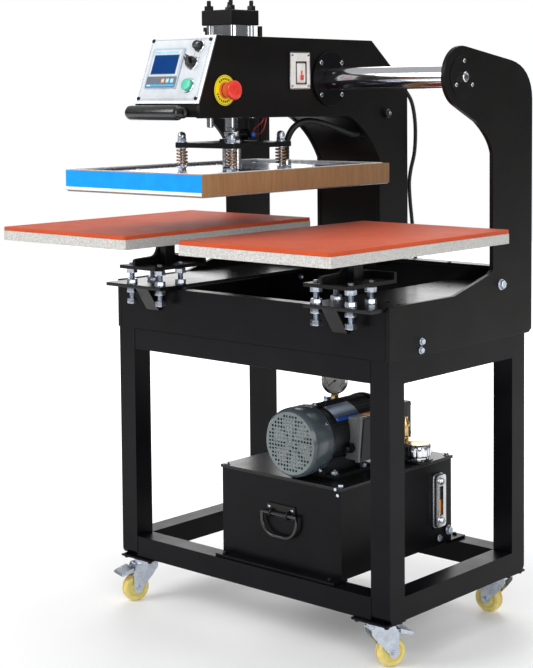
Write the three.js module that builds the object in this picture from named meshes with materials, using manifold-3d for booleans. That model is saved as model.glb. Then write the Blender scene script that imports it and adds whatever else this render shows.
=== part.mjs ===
// Two-station hydraulic heat press on a wheeled cart. A press head slides sideways along a round shaft,
// between a left and a right lower platen, and its cylinder lowers a spring-hung heated platen.
// Millimetres, +X to the operator's right, +Y away from the operator, +Z up.
// The origin lies on the floor, under the middle of the machine's bounding box.
import * as THREE from 'three';
import { mergeVertices } from 'three/addons/utils/BufferGeometryUtils.js';
import Module from 'manifold-3d';

const wasm = await Module();
wasm.setup();

// ---------- driving dimensions ----------
const GAP = 0.3; // between pieces that touch
const REST_ON_CART = -115.25; // the box's middle in Y, measured from the middle of the cart

const TUBE = 50; // square tube of the cart
const CART = { halfX: 400, halfY: 250, bottom: 105, top: 650 };
const RAIL_TOP = CART.bottom + TUBE;
const TUBE_WALL = 3;

const SIDE = { outer: 402, thick: 10 }; // plates that carry the shaft, their outer faces at +-outer
const SIDE_INNER = SIDE.outer - SIDE.thick;
const BETWEEN_SIDES = SIDE_INNER - GAP;
const BOX_FRONT = -252;
const BOX_REAR = 272;
const BOX_BOTTOM = CART.top + GAP;
const SHEET = 4;
const TRAY = { bottom: 752, thick: 8, front: -298, inner: 212 };
const APRON_TOP = TRAY.bottom - GAP;
const RAIL_FLANGE = { bottom: 790, top: 798, front: 236 }; // rear apron's top, a track for the head's foot

const SHAFT = { radius: 25, y: 6, z: 1227 };

const PLATEN = { x: 278, y: -229, width: 400, depth: 603, bottom: 871.6, thick: 21.4, pad: 7.7, corner: 7 };
const BRACKET = { halfX: 58, front: -306, rear: -140, bottom: 797, thick: 8 };
const STUD = { radius: 6, halfX: 46, ys: [-278.5, -213], bottom: 715, top: 809, nut: 10.5 };

const HEAD = { x: -61.6, halfX: 97, plate: 10, top: 1319, bottom: 1141, front: -417, rear: 300, foot: 812 };
const HEAD_INNER = HEAD.halfX - HEAD.plate - GAP;
const HEAD_SHEET = 4;
const PANEL = { height: 154.5, tilt: 0.3709, y: -417.4, z: 1175, thick: 3 };
const BEARING = { radius: 40, flange: 62, flangeThick: 5, length: 184 };

const PRESS_Y = -218; // the cylinder's and the heated platen's middle
const CYLINDER = { radius: 40, bore: 35.4, bottom: 1150, capBottom: 1345, capTop: 1378, cap: 45, tie: 33 };
const TIE_ROD = { radius: 5, bottom: 1120, top: 1400, nut: 8.5 };
const HANGER = { left: -86, right: 94, front: -93, rear: 97, bottom: 1078, top: 1089 };
const HEATER = { width: 412, depth: 612, bottom: 988.5, top: 1035, plateTop: 1028, band: 3 };
const SPRING_BOLT = { x: 75, y: 80, radius: 6, spring: 13, nut: 10 };

const CASTER = { x: 350, y: 225, trail: 27, radius: 32, halfWidth: 13.5, plateBottom: 101 };
const TANK = { x0: -100, x1: 246, y0: -218, y1: 182, bottom: 160.3, top: 354, wall: 4, lid: 6 };
const LID_TOP = TANK.top + GAP + TANK.lid;
const MOTOR = { x: 115, front: -230, z: 440, radius: 66, cowl: 76, cowlLength: 58 };

// ---------- materials ----------
const paint = (color, roughness, metalness) =>
  new THREE.MeshStandardMaterial({ color, roughness, metalness });
const blackPaint = paint(0x17171a, 0.45, 0.2);
const zinc = paint(0xb9bcc0, 0.35, 0.9);
const chrome = paint(0xdfe3ea, 0.08, 1);
const aluminium = paint(0xc9c9c6, 0.5, 0.8);
const silicone = paint(0xe2562c, 0.7, 0);
const heaterBand = paint(0xb98a5c, 0.6, 0);
const motorPaint = paint(0x6f7d85, 0.45, 0.2);
const panelFace = paint(0xe3e7ea, 0.4, 0.1);
const redPlastic = paint(0xe2382c, 0.4, 0);
const greenPlastic = paint(0x4fbf93, 0.35, 0);
const blackPlastic = paint(0x1b1b1d, 0.5, 0);
const tyre = paint(0xe6d98a, 0.5, 0);
const rubber = paint(0x121212, 0.8, 0);

// ---------- closed solids from three.js geometry ----------
function placed(geometry, ...values) {
  return geometry.applyMatrix4(new THREE.Matrix4().set(...values, 0, 0, 0, 1));
}

function box(x0, x1, y0, y1, z0, z1) {
  const geometry = new THREE.BoxGeometry(x1 - x0, y1 - y0, z1 - z0);
  return geometry.translate((x0 + x1) / 2, (y0 + y1) / 2, (z0 + z1) / 2);
}

function shapeOf(outline) {
  return Array.isArray(outline)
    ? new THREE.Shape(outline.map(([a, b]) => new THREE.Vector2(a, b)))
    : outline;
}

function slab(outline, depth, curveSegments) {
  return new THREE.ExtrudeGeometry(shapeOf(outline), { depth, curveSegments, bevelEnabled: false });
}

// An outline in (Y, Z), from x0 to x1.
function slabX(outline, x0, x1, curveSegments = 8) {
  return placed(slab(outline, x1 - x0, curveSegments), 0, 0, 1, x0, 1, 0, 0, 0, 0, 1, 0, 0);
}

// An outline in (X, Z), from y0 to y1.
function slabY(outline, y0, y1, curveSegments = 8) {
  return placed(slab(outline, y1 - y0, curveSegments), 1, 0, 0, 0, 0, 0, -1, y1, 0, 1, 0, 0);
}

// An outline in (X, Y), from z0 to z1.
function slabZ(outline, z0, z1, curveSegments = 8) {
  return slab(outline, z1 - z0, curveSegments).translate(0, 0, z0);
}

function rodZ(radius, z0, z1, x = 0, y = 0, sides = 12) {
  const geometry = new THREE.CylinderGeometry(radius, radius, z1 - z0, sides);
  return geometry.rotateX(Math.PI / 2).translate(x, y, (z0 + z1) / 2);
}

function rodX(radius, x0, x1, y = 0, z = 0, sides = 12) {
  const geometry = new THREE.CylinderGeometry(radius, radius, x1 - x0, sides);
  return geometry.rotateZ(Math.PI / 2).translate((x0 + x1) / 2, y, z);
}

function rodY(radius, y0, y1, x = 0, z = 0, sides = 12) {
  const geometry = new THREE.CylinderGeometry(radius, radius, y1 - y0, sides);
  return geometry.translate(x, (y0 + y1) / 2, z);
}

// A profile of [radius, height] points, turned about Z. It starts and ends on the axis or closes on itself.
function turned(profile, sides = 16) {
  const points = profile.map(([radius, height]) => new THREE.Vector2(radius, height));
  return new THREE.LatheGeometry(points, sides).rotateX(Math.PI / 2);
}

function roundedRectangle(x0, x1, y0, y1, radius) {
  const shape = new THREE.Shape();
  shape.absarc(x1 - radius, y1 - radius, radius, 0, Math.PI / 2, false);
  shape.absarc(x0 + radius, y1 - radius, radius, Math.PI / 2, Math.PI, false);
  shape.absarc(x0 + radius, y0 + radius, radius, Math.PI, 1.5 * Math.PI, false);
  shape.absarc(x1 - radius, y0 + radius, radius, 1.5 * Math.PI, 2 * Math.PI, false);
  return shape;
}

// ---------- joining and cutting ----------
function solid(shape) {
  if (shape.getMesh) return shape;
  const bare = shape.clone();
  bare.deleteAttribute('normal');
  bare.deleteAttribute('uv');
  const merged = mergeVertices(bare, 1e-3);
  const corners = merged.index.array;
  const triangles = [];
  for (let i = 0; i < corners.length; i += 3) {
    const [a, b, c] = [corners[i], corners[i + 1], corners[i + 2]];
    if (a !== b && b !== c && c !== a) triangles.push(a, b, c);
  }
  const vertProperties = Float32Array.from(merged.attributes.position.array);
  const triVerts = Uint32Array.from(triangles);
  return new wasm.Manifold(new wasm.Mesh({ numProp: 3, vertProperties, triVerts }));
}

const join = (first, ...others) => others.reduce((whole, piece) => whole.add(solid(piece)), solid(first));
const cut = (first, ...others) =>
  others.reduce((whole, piece) => whole.subtract(solid(piece)), solid(first));

function geometryOf(shape) {
  if (!shape.getMesh) return shape;
  const { vertProperties, triVerts } = shape.getMesh();
  const geometry = new THREE.BufferGeometry();
  geometry.setAttribute('position', new THREE.BufferAttribute(vertProperties, 3));
  geometry.setIndex(new THREE.BufferAttribute(triVerts, 1));
  geometry.computeVertexNormals();
  return geometry;
}

function add(parent, name, shape, material) {
  const mesh = new THREE.Mesh(geometryOf(shape), material);
  mesh.name = name;
  parent.add(mesh);
  return mesh;
}

function group(parent, x = 0, y = 0, z = 0) {
  const made = new THREE.Group();
  made.position.set(x, y, z);
  parent.add(made);
  return made;
}

const sides = [['left', -1], ['right', 1]];
const mirrored = (sign, a, b) => (sign > 0 ? [a, b] : [-b, -a]);

// ---------- cart ----------
// Two legs and two rails welded into one end frame, with the casters' plates under it.
function endFrame(sign) {
  const corner = 16;
  const ring = new THREE.Shape();
  ring.moveTo(-CART.halfY, CART.top);
  ring.lineTo(-CART.halfY, CART.bottom + corner);
  ring.absarc(-CART.halfY + corner, CART.bottom + corner, corner, Math.PI, 1.5 * Math.PI, false);
  ring.absarc(CART.halfY - corner, CART.bottom + corner, corner, 1.5 * Math.PI, 2 * Math.PI, false);
  ring.lineTo(CART.halfY, CART.top);
  const inner = CART.halfY - TUBE;
  ring.holes.push(new THREE.Path([
    new THREE.Vector2(-inner, RAIL_TOP), new THREE.Vector2(-inner, CART.top - TUBE),
    new THREE.Vector2(inner, CART.top - TUBE), new THREE.Vector2(inner, RAIL_TOP),
  ]));
  const [x0, x1] = mirrored(sign, CART.halfX - TUBE, CART.halfX);
  const frame = slabX(ring, x0, x1, 4);
  const halfLength = 47.5;
  const halfWidth = 32;
  const plates = [-1, 1].map((end) => box(
    sign * CASTER.x - halfLength, sign * CASTER.x + halfLength,
    end * CASTER.y - halfWidth, end * CASTER.y + halfWidth, CASTER.plateBottom, CART.bottom + 0.5,
  ));
  return join(frame, ...plates);
}

function crossRail(yMiddle, z0) {
  const length = CART.halfX - TUBE - GAP;
  const half = TUBE / 2;
  const hollow = half - TUBE_WALL;
  const zMiddle = z0 + half;
  // The lower rails stay clear of the casters' plates.
  const tube = box(-length, length, yMiddle - half, yMiddle + half, z0 + GAP * 2 + 0.5, z0 + TUBE);
  const inside = box(
    -length - 1, length + 1, yMiddle - hollow, yMiddle + hollow, zMiddle - hollow, zMiddle + hollow,
  );
  return cut(tube, inside);
}

function frontApron() {
  const lip = BOX_FRONT + 28;
  const back = BOX_FRONT + SHEET;
  const profile = [
    [BOX_FRONT, BOX_BOTTOM], [lip, BOX_BOTTOM], [lip, BOX_BOTTOM + SHEET], [back, BOX_BOTTOM + SHEET],
    [back, APRON_TOP - SHEET], [lip, APRON_TOP - SHEET], [lip, APRON_TOP], [BOX_FRONT, APRON_TOP],
  ];
  return slabX(profile, -BETWEEN_SIDES, BETWEEN_SIDES);
}

function rearApron() {
  const lip = BOX_REAR - 32;
  const inner = BOX_REAR - 8;
  const profile = [
    [BOX_REAR, BOX_BOTTOM], [BOX_REAR, RAIL_FLANGE.top], [RAIL_FLANGE.front, RAIL_FLANGE.top],
    [RAIL_FLANGE.front, RAIL_FLANGE.bottom], [inner, RAIL_FLANGE.bottom], [inner, BOX_BOTTOM + SHEET],
    [lip, BOX_BOTTOM + SHEET], [lip, BOX_BOTTOM],
  ];
  return slabX(profile, -BETWEEN_SIDES, BETWEEN_SIDES);
}

// One plate: the side of the box, the rear post and the arm that holds the shaft's end.
function sidePlate(sign) {
  const eye = 66;
  const outline = new THREE.Shape();
  outline.moveTo(BOX_FRONT, BOX_BOTTOM);
  outline.lineTo(264, BOX_BOTTOM);
  outline.lineTo(276, 658);
  outline.lineTo(278, 1175);
  outline.bezierCurveTo(278, 1225, 245, 1255, 193, 1264);
  outline.lineTo(17.5, 1292);
  outline.absarc(SHAFT.y, SHAFT.z, eye, THREE.MathUtils.degToRad(80), THREE.MathUtils.degToRad(248), false);
  outline.lineTo(57, 1131);
  outline.quadraticCurveTo(112, 1095, 121, 1060);
  outline.lineTo(121, 806);
  outline.lineTo(109, 796);
  outline.lineTo(-24, 762);
  outline.lineTo(BOX_FRONT, 762);
  return slabX(outline, ...mirrored(sign, SIDE_INNER, SIDE.outer));
}

function gusset(x0, x1) {
  const back = BOX_FRONT - GAP;
  const foot = 700;
  const top = TRAY.bottom + 1;
  return slabX([[TRAY.front + 4, top], [back - 6, foot], [back, foot], [back, top]], x0, x1);
}

function tray(sign) {
  const [x0, x1] = mirrored(sign, TRAY.inner, BETWEEN_SIDES);
  const top = TRAY.bottom + TRAY.thick;
  const plate = box(x0, x1, TRAY.front, BOX_REAR - 8 - GAP, TRAY.bottom, top);
  const wedge = gusset(...mirrored(sign, PLATEN.x - 20, PLATEN.x + 20));
  const holes = studPlaces(sign).map(([x, y]) => rodZ(STUD.radius + 0.5, TRAY.bottom - 1, top + 1, x, y));
  return cut(join(plate, wedge), ...holes);
}

// ---------- lower platens ----------
function studPlaces(sign) {
  const xs = [sign * PLATEN.x - STUD.halfX, sign * PLATEN.x + STUD.halfX];
  return xs.flatMap((x) => STUD.ys.map((y) => [x, y]));
}

// A plate on four levelling studs, with a low web along it, a rear lip, and the post under the platen.
function platenBracket(sign) {
  const x = sign * PLATEN.x;
  const top = BRACKET.bottom + BRACKET.thick;
  const plate = box(x - BRACKET.halfX, x + BRACKET.halfX, BRACKET.front, BRACKET.rear, BRACKET.bottom, top);
  const post = { front: -229, rear: -199, half: 15, top: PLATEN.bottom - GAP };
  const web = new THREE.Shape();
  web.moveTo(BRACKET.front, top - 1);
  web.lineTo(BRACKET.front, top + 13);
  web.lineTo(BRACKET.front + 6, top + 16);
  web.lineTo(-248, top + 18);
  web.quadraticCurveTo(post.front, top + 22, post.front, post.top - 6);
  web.lineTo(post.rear, post.top - 6);
  web.quadraticCurveTo(post.rear, top + 20, -180, top + 16);
  web.lineTo(BRACKET.rear, top + 14);
  web.lineTo(BRACKET.rear, top - 1);
  const pieces = [
    slabX(web, x - 15, x - 7),
    box(x - BRACKET.halfX, x + BRACKET.halfX, BRACKET.rear - 8, BRACKET.rear, top - 1, top + 15),
    box(x - post.half, x + post.half, post.front, post.rear, top - 1, post.top),
    box(x - 40, x + 40, PLATEN.y - 25, PLATEN.y + 55, post.top - 6, post.top),
  ];
  const trayTop = TRAY.bottom + TRAY.thick;
  const nutHeight = 10;
  for (const [sx, sy] of studPlaces(sign)) {
    pieces.push(rodZ(STUD.radius, STUD.bottom, STUD.top, sx, sy, 6));
    const nuts = [STUD.bottom, TRAY.bottom - GAP - nutHeight, trayTop + GAP];
    for (const z of nuts) pieces.push(rodZ(STUD.nut, z, z + nutHeight, sx, sy, 6));
  }
  return join(plate, ...pieces);
}

function platenSlab(sign, inset, z0, z1) {
  const x = sign * PLATEN.x;
  const halfX = PLATEN.width / 2 - inset;
  const halfY = PLATEN.depth / 2 - inset;
  const outline = roundedRectangle(x - halfX, x + halfX, PLATEN.y - halfY, PLATEN.y + halfY, PLATEN.corner);
  return slabZ(outline, z0, z1, 4);
}

// ---------- press head ----------
// The head's side outline, drawn in by inset on every side.
function headOutline(inset) {
  const shape = new THREE.Shape();
  shape.moveTo(HEAD.front + inset, HEAD.bottom + 4 + inset);
  shape.lineTo(75 + 0.3 * inset, HEAD.bottom + inset);
  shape.quadraticCurveTo(150 + 0.7 * inset, 1110 + 0.7 * inset, 190 + inset, 1038);
  shape.lineTo(190 + inset, HEAD.foot + inset);
  shape.lineTo(HEAD.rear - inset, HEAD.foot + inset);
  shape.lineTo(HEAD.rear - inset, 1205 - 0.5 * inset);
  shape.lineTo(162 - 0.4 * inset, HEAD.top - 3 - inset);
  shape.lineTo(-361 + 1.2 * inset, HEAD.top - inset);
  shape.lineTo(HEAD.front + inset, PANEL.z);
  return shape;
}

function headPlate(sign) {
  const bearingHole = rodX(BEARING.radius + 0.5, -120, 120, SHAFT.y, SHAFT.z, 32);
  const sheet = slabX(headOutline(0), ...mirrored(sign, HEAD.halfX - HEAD.plate, HEAD.halfX));
  const plate = cut(sheet, bearingHole);
  if (sign < 0) return plate;
  const face = HEAD.halfX;
  const stopPost = rodX(14, face - 1, face + 9, -342, 1203, 16);
  const stopPlate = rodX(32, face - 1, face + 2, -342, 1203, 24);
  const stopHole = rodX(9.5, face - 20, face + 20, -342, 1203, 16);
  const switchFrame = box(face - 1, face + 3, -134, -66, 1204, 1286);
  const switchHole = box(face - 20, face + 20, -115, -80, 1215, 1265);
  return cut(join(plate, stopPost, stopPlate, switchFrame), stopHole, switchHole);
}

// Bent sheet between the side plates: roof, back, curved underside, and the foot over the rear track.
function headCover() {
  const outer = 2;
  const shell = cut(
    slabX(headOutline(outer), -HEAD_INNER, HEAD_INNER),
    slabX(headOutline(outer + HEAD_SHEET), -HEAD_INNER - 1, HEAD_INNER + 1),
  );
  const track = RAIL_FLANGE;
  const clear = 0.6;
  const half = 66;
  const foot = [
    box(-half, half, 205, HEAD.rear - outer - 1, track.top + clear, HEAD.foot + outer + 2),
    box(-half, half, 216, track.front - clear, 776, track.top + 5),
    box(-half, half, 216, 254, 776, track.bottom - clear),
    box(-half, half, BOX_REAR + clear, 288, 776, track.top + 5),
  ];
  const roofWindow = box(-52, 52, -272, -108, 1300, 1330);
  const floorWindow = box(-50, 50, -270, -108, 1130, 1160);
  const panelWindow = box(-82, 82, -12, 12, 12, 142).rotateX(-PANEL.tilt).translate(0, PANEL.y, PANEL.z);
  const grommet = rodY(11, HEATER_LEAD.end, 165, HEATER_LEAD.x - HEAD.x, HEATER_LEAD.z, 12);
  return join(cut(shell, roofWindow, floorWindow, panelWindow), ...foot, grommet);
}

function shaftBearing() {
  const start = HEAD.halfX + GAP;
  const farEnd = start + BEARING.flangeThick - BEARING.length;
  const barrel = rodX(BEARING.radius, farEnd, start + 1, SHAFT.y, SHAFT.z, 32);
  const flange = rodX(BEARING.flange, start, start + BEARING.flangeThick, SHAFT.y, SHAFT.z, 32);
  const bore = rodX(SHAFT.radius + 0.4, -150, 150, SHAFT.y, SHAFT.z, 32);
  return cut(join(barrel, flange), bore);
}

function pushHandle() {
  const radius = 15.5;
  const half = 78;
  const profile = [[0, -half], [10, -half], [radius, -half + 5], [radius, half - 5], [10, half], [0, half]];
  const bar = turned(profile, 20).rotateY(Math.PI / 2).translate(0, -455, 1157);
  const posts = [-50, 50].map((x) => box(x - 9, x + 9, -445, HEAD.front - GAP, 1150, 1164));
  return join(bar, ...posts);
}

// ---------- cylinder and heated platen ----------
const tieRodPlaces = [-1, 1].flatMap((a) =>
  [-1, 1].map((b) => [a * CYLINDER.tie, PRESS_Y + b * CYLINDER.tie]));

function cylinder() {
  const boreTop = 1340;
  const flangeTop = CYLINDER.bottom + 14;
  const cap = CYLINDER.cap;
  const floor = HEAD.bottom + 2 + HEAD_SHEET + 4 + GAP * 2;
  const body = join(
    rodZ(CYLINDER.radius, flangeTop - 1, CYLINDER.capBottom + 1, 0, PRESS_Y, 24),
    box(-cap, cap, PRESS_Y - cap, PRESS_Y + cap, CYLINDER.capBottom, CYLINDER.capTop),
    box(-HEAD_INNER + 1, HEAD_INNER - 1, -305, -131, floor, flangeTop),
    ...tieRodPlaces.flatMap(([x, y]) => [
      rodZ(TIE_ROD.radius, TIE_ROD.bottom, TIE_ROD.top, x, y, 6),
      rodZ(TIE_ROD.nut, CYLINDER.capTop - 1, CYLINDER.capTop + 12, x, y, 6),
    ]),
  );
  return cut(
    body,
    rodZ(CYLINDER.bore, flangeTop + 8, boreTop, 0, PRESS_Y, 24),
    rodZ(14.4, floor - 1, flangeTop + 10, 0, PRESS_Y, 16),
  );
}

function pistonRod() {
  const head = { bottom: 1318, top: 1334, radius: 35 };
  return join(
    rodZ(14, HANGER.top + GAP, head.bottom + 1, 0, PRESS_Y, 16),
    rodZ(head.radius, head.bottom, head.top, 0, PRESS_Y, 24),
  );
}

const springBoltPlaces = [
  ['front_left', -1, -1], ['front_right', 1, -1], ['rear_left', -1, 1], ['rear_right', 1, 1],
];

// The plate under the piston, with its anti-rotation rod and two short posts down to the platen.
function hangerPlate() {
  const { left, right, front, rear } = HANGER;
  const outline = roundedRectangle(left, right, PRESS_Y + front, PRESS_Y + rear, 6);
  const plate = slabZ(outline, HANGER.bottom, HANGER.top, 3);
  const { x, y, radius } = SPRING_BOLT;
  const holes = springBoltPlaces.map(([, a, b]) =>
    rodZ(radius + 0.5, HANGER.bottom - 1, HANGER.top + 1, a * x, PRESS_Y + b * y));
  const guideRod = rodZ(5.5, HANGER.top - 2, 1346, 0, PRESS_Y + rear, 12);
  const lug = box(-10, 10, PRESS_Y + rear - 2, PRESS_Y + rear + 9, HANGER.bottom, HANGER.top);
  const postFoot = HEATER.plateTop + GAP;
  const posts = [-1, 1].map((a) => rodZ(8, postFoot, HANGER.bottom + 2, a * 45, PRESS_Y - a * 30, 8));
  return join(cut(plate, ...holes), guideRod, lug, ...posts);
}

function springBolt(a, b) {
  const { radius, spring, nut } = SPRING_BOLT;
  const bottom = HEATER.plateTop + GAP;
  const under = HANGER.bottom - GAP;
  const over = HANGER.top + GAP;
  const profile = [
    [0, bottom], [nut, bottom], [nut, bottom + 8], [spring, bottom + 8], [spring, under],
    [radius, under], [radius, over], [nut, over], [nut, over + 8], [nut - 2, over + 10],
    [nut - 2, over + 18], [4, over + 24], [0, over + 25],
  ];
  return turned(profile, 8).translate(a * SPRING_BOLT.x, PRESS_Y + b * SPRING_BOLT.y, 0);
}

function heaterPlate() {
  const halfX = HEATER.width / 2 - HEATER.band - GAP;
  const halfY = HEATER.depth / 2 - HEATER.band - GAP;
  const plate = box(-halfX, halfX, PRESS_Y - halfY, PRESS_Y + halfY, HEATER.bottom, HEATER.plateTop);
  const { x0, y0, start } = HEATER_LEAD;
  const gland = rodZ(10, HEATER.plateTop - 1, start, x0 - HEAD.x, y0, 12);
  return join(plate, gland);
}

function heaterBandShape() {
  const halfX = HEATER.width / 2;
  const halfY = HEATER.depth / 2;
  const wall = HEATER.band;
  const lip = 13;
  const z0 = HEATER.bottom + 2.5;
  const hollow = (inset, top) => {
    const [x, y] = [halfX - inset, halfY - inset];
    return box(-x, x, PRESS_Y - y, PRESS_Y + y, z0 - 1, top);
  };
  return cut(
    slabZ(roundedRectangle(-halfX, halfX, PRESS_Y - halfY, PRESS_Y + halfY, 4), z0, HEATER.top, 3),
    hollow(wall, HEATER.top - 3),
    hollow(lip, HEATER.top + 1),
  );
}

// ---------- leads ----------
function tubeAlong(points, radius, sidesOfTube, steps) {
  const path = new THREE.CatmullRomCurve3(points.map((point) => new THREE.Vector3(...point)));
  const section = new THREE.Shape();
  for (let i = 0; i < sidesOfTube; i += 1) {
    const angle = (i / sidesOfTube) * 2 * Math.PI;
    const place = [radius * Math.cos(angle), radius * Math.sin(angle)];
    if (i === 0) section.moveTo(...place);
    else section.lineTo(...place);
  }
  return new THREE.ExtrudeGeometry(section, { steps, extrudePath: path, bevelEnabled: false });
}

// The heated platen's flexible conduit: up behind the hanger plate and into the head's curved underside.
const HEATER_LEAD = { radius: 7.5, x0: 2, y0: -107, start: 1042, x: 11, z: 1097, end: 137.7 + GAP };
const heaterLeadRoute = [
  [2, -107, 1042 + GAP], [2, -107, 1060], [2, -106, 1080], [3, -99, 1100], [4, -84, 1117],
  [5, -62, 1128], [6, -36, 1132], [7, -6, 1129], [8, 25, 1123], [9, 55, 1115], [10, 85, 1106],
  [11, 112, 1099], [11, 126, 1097], [11, 137.7, 1097],
];

// The supply hose: out of the head's back, down behind the box and up into a gland on the rear apron.
const SUPPLY_HOSE_RADIUS = 5;
const supplyHoseRoute = [
  [2, 298.3, 1212], [6, 312, 1210], [18, 320, 1194], [34, 320, 1168], [44, 318, 1128], [47, 316, 1085],
  [44, 315, 1045], [34, 315, 1008], [29, 315, 975], [31, 315, 935], [36, 315, 890], [42, 315, 840],
  [48, 314, 790], [53, 312, 735], [58, 310, 685], [66, 308, 640], [82, 306, 608], [106, 304, 598],
  [128, 303, 612], [140, 302, 642], [142, 300, 668], [142, 292, 686], [142, 282, 690], [142, 272.3, 690],
];

// ---------- casters ----------
function casterFork() {
  const inner = CASTER.halfWidth + 3;
  const outer = inner + 2.5;
  const top = CASTER.plateBottom - GAP;
  const cheek = new THREE.Shape();
  cheek.moveTo(24, 90);
  cheek.lineTo(-30, 90);
  cheek.lineTo(-39, 72);
  cheek.lineTo(-38, CASTER.radius);
  cheek.absarc(-CASTER.trail, CASTER.radius, 11, Math.PI, 2 * Math.PI, false);
  cheek.lineTo(10, 60);
  cheek.lineTo(24, 78);
  const crown = box(-outer, outer, -30, 24, 86, 90);
  const axle = rodX(4, -outer - 4, outer + 4, -CASTER.trail, CASTER.radius, 10);
  const cheeks = [[-outer, -inner], [inner, outer]].map(([x0, x1]) => slabX(cheek, x0, x1, 4));
  return join(crown, rodZ(26, 89, top, 0, 0, 14), axle, ...cheeks);
}

function casterWheel() {
  const half = CASTER.halfWidth;
  const bore = 4.4;
  const rim = CASTER.radius;
  const profile = [
    [bore, -half - 2], [10, -half - 2], [10, -half + 2], [rim - 8, -half + 2], [rim - 3, -half],
    [rim, -6], [rim, 6], [rim - 3, half], [rim - 8, half - 2], [10, half - 2], [10, half + 2],
    [bore, half + 2], [bore, -half - 2],
  ];
  return turned(profile, 20).rotateY(Math.PI / 2).translate(0, -CASTER.trail, CASTER.radius);
}

function brakePedal() {
  const tongue = slabX([[-33, 82], [-45, 80], [-45, 71], [-33, 71]], -15, 15);
  const pedal = slabX([[-40.5, 84], [-70, 74], [-73, 69], [-68, 67], [-40.5, 74]], -22, 22);
  return join(tongue, pedal);
}

// ---------- power pack ----------
function oilTank() {
  const { x0, x1, y0, y1, bottom, top, wall } = TANK;
  const shell = cut(
    box(x0, x1, y0, y1, bottom, top),
    box(x0 + wall, x1 - wall, y0 + wall, y1 - wall, bottom + wall, top + 1),
  );
  const railTop = RAIL_TOP + GAP;
  const feet = [[y0 - 26, y0 + 20], [y1 - 20, y1 + 56]];
  const handleBracket = box(38, 118, y0 - 3, y0 + 1, 268, 296);
  const gaugeFoot = box(x1 - 1, x1 + 3, 112, 142, 200, 204);
  const footBars = feet.map(([a, b]) => box(x0, x1, a, b, railTop, bottom + 1));
  return join(shell, ...footBars, handleBracket, gaugeFoot);
}

// Fan cowl end at -Y, frame, terminal box on +X, and the bell housing and gear pump at its back.
function pumpMotor() {
  const { x, z, radius, front, cowlLength } = MOTOR;
  const cowlEnd = front + cowlLength;
  const footTop = LID_TOP + GAP + 8;
  const feet = box(x - 75, x + 75, cowlEnd + GAP, -38, LID_TOP + GAP, footTop);
  const saddle = box(x - 48, x + 48, cowlEnd + GAP, -43, footTop - 1, z - 20);
  const bell = rodY(52, 22, 78, x, z, 24);
  const pump = box(x - 40, x + 40, 77, 150, z - 45, z + 40);
  const lidOutline = [[-110, 394], [2, 394], [8, 484], [-98, 484]];
  const terminalBox = slabX(lidOutline, x + radius - 12, x + radius + 34);
  const frame = rodY(radius, cowlEnd + GAP, 26, x, z, 32);
  return join(frame, feet, saddle, bell, pump, terminalBox);
}

// An open cap over the fan, its face pierced by a ring of slots.
function fanCover() {
  const { x, z, cowl, front, cowlLength: length } = MOTOR;
  const profile = [
    [0, 0], [cowl - 10, 0], [cowl - 3, 4], [cowl, 12], [cowl, length], [cowl - 2.5, length],
    [cowl - 2.5, 13], [cowl - 5, 6.5], [cowl - 11, 3], [0, 3],
  ];
  const shell = turned(profile, 24).rotateX(-Math.PI / 2).translate(x, front, z);
  const slots = [];
  const slotCount = 6;
  for (let i = 0; i < slotCount; i += 1) {
    const angle = (i / slotCount) * 2 * Math.PI;
    const place = [x + 34 * Math.cos(angle), z + 34 * Math.sin(angle)];
    slots.push(rodY(11, front - 1, front + 5, ...place, 6));
  }
  return cut(shell, ...slots);
}

function valveBlock() {
  const z0 = LID_TOP + GAP;
  return join(
    box(-46, 34, 0, 86, z0, z0 + 66),
    box(-30, 30, 8, 64, z0 + 65, 470),
    box(-92, -45, 18, 68, z0 + 16, z0 + 60),
    rodZ(13, z0 + 65, 455, -38, 74, 12),
  );
}

function pressureGauge() {
  const centre = 530;
  const caseBody = rodY(30, -13, 13, 0, centre, 24);
  const foot = 470 + GAP;
  const stemTop = centre - 20;
  const stem = turned(
    [[0, foot], [6, foot], [6, 486], [9, 487], [9, 495], [6, 496], [6, stemTop], [0, stemTop]], 8,
  );
  return join(caseBody, stem.translate(0, 4, 0));
}

function levelGauge() {
  const x0 = TANK.x1 + GAP;
  const frame = slabX(roundedRectangle(109, 145, 206, 326, 8), x0, x0 + 12, 3);
  return cut(frame, box(x0 + 6, x0 + 13, 120, 134, 232, 300));
}

function fillerCap() {
  const z0 = LID_TOP + GAP;
  const profile = [
    [0, z0], [34, z0], [34, z0 + 6], [27, z0 + 8], [27, z0 + 13], [31, z0 + 15],
    [31, 398], [28, 401], [0, 401],
  ];
  return turned(profile, 18).translate(222, 85, 0);
}

function tankHandle() {
  const half = 54;
  const bar = 8;
  const drop = 58;
  const ring = (inset) => {
    const path = inset === 0 ? new THREE.Shape() : new THREE.Path();
    const low = 40 - inset;
    path.moveTo(half - inset, 4 - inset);
    path.lineTo(-half + inset, 4 - inset);
    path.lineTo(-half + inset, -drop + 44);
    path.absarc(-half + 40, -drop + 44, low, Math.PI, 1.5 * Math.PI, false);
    path.absarc(half - 40, -drop + 44, low, 1.5 * Math.PI, 2 * Math.PI, false);
    return path;
  };
  const shape = ring(0);
  shape.holes.push(ring(bar));
  return slabY(shape, -bar / 2, bar / 2, 6);
}

// ---------- assembly ----------
const press = new THREE.Group();
const machine = group(press, 0, -REST_ON_CART, 0);

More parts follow.
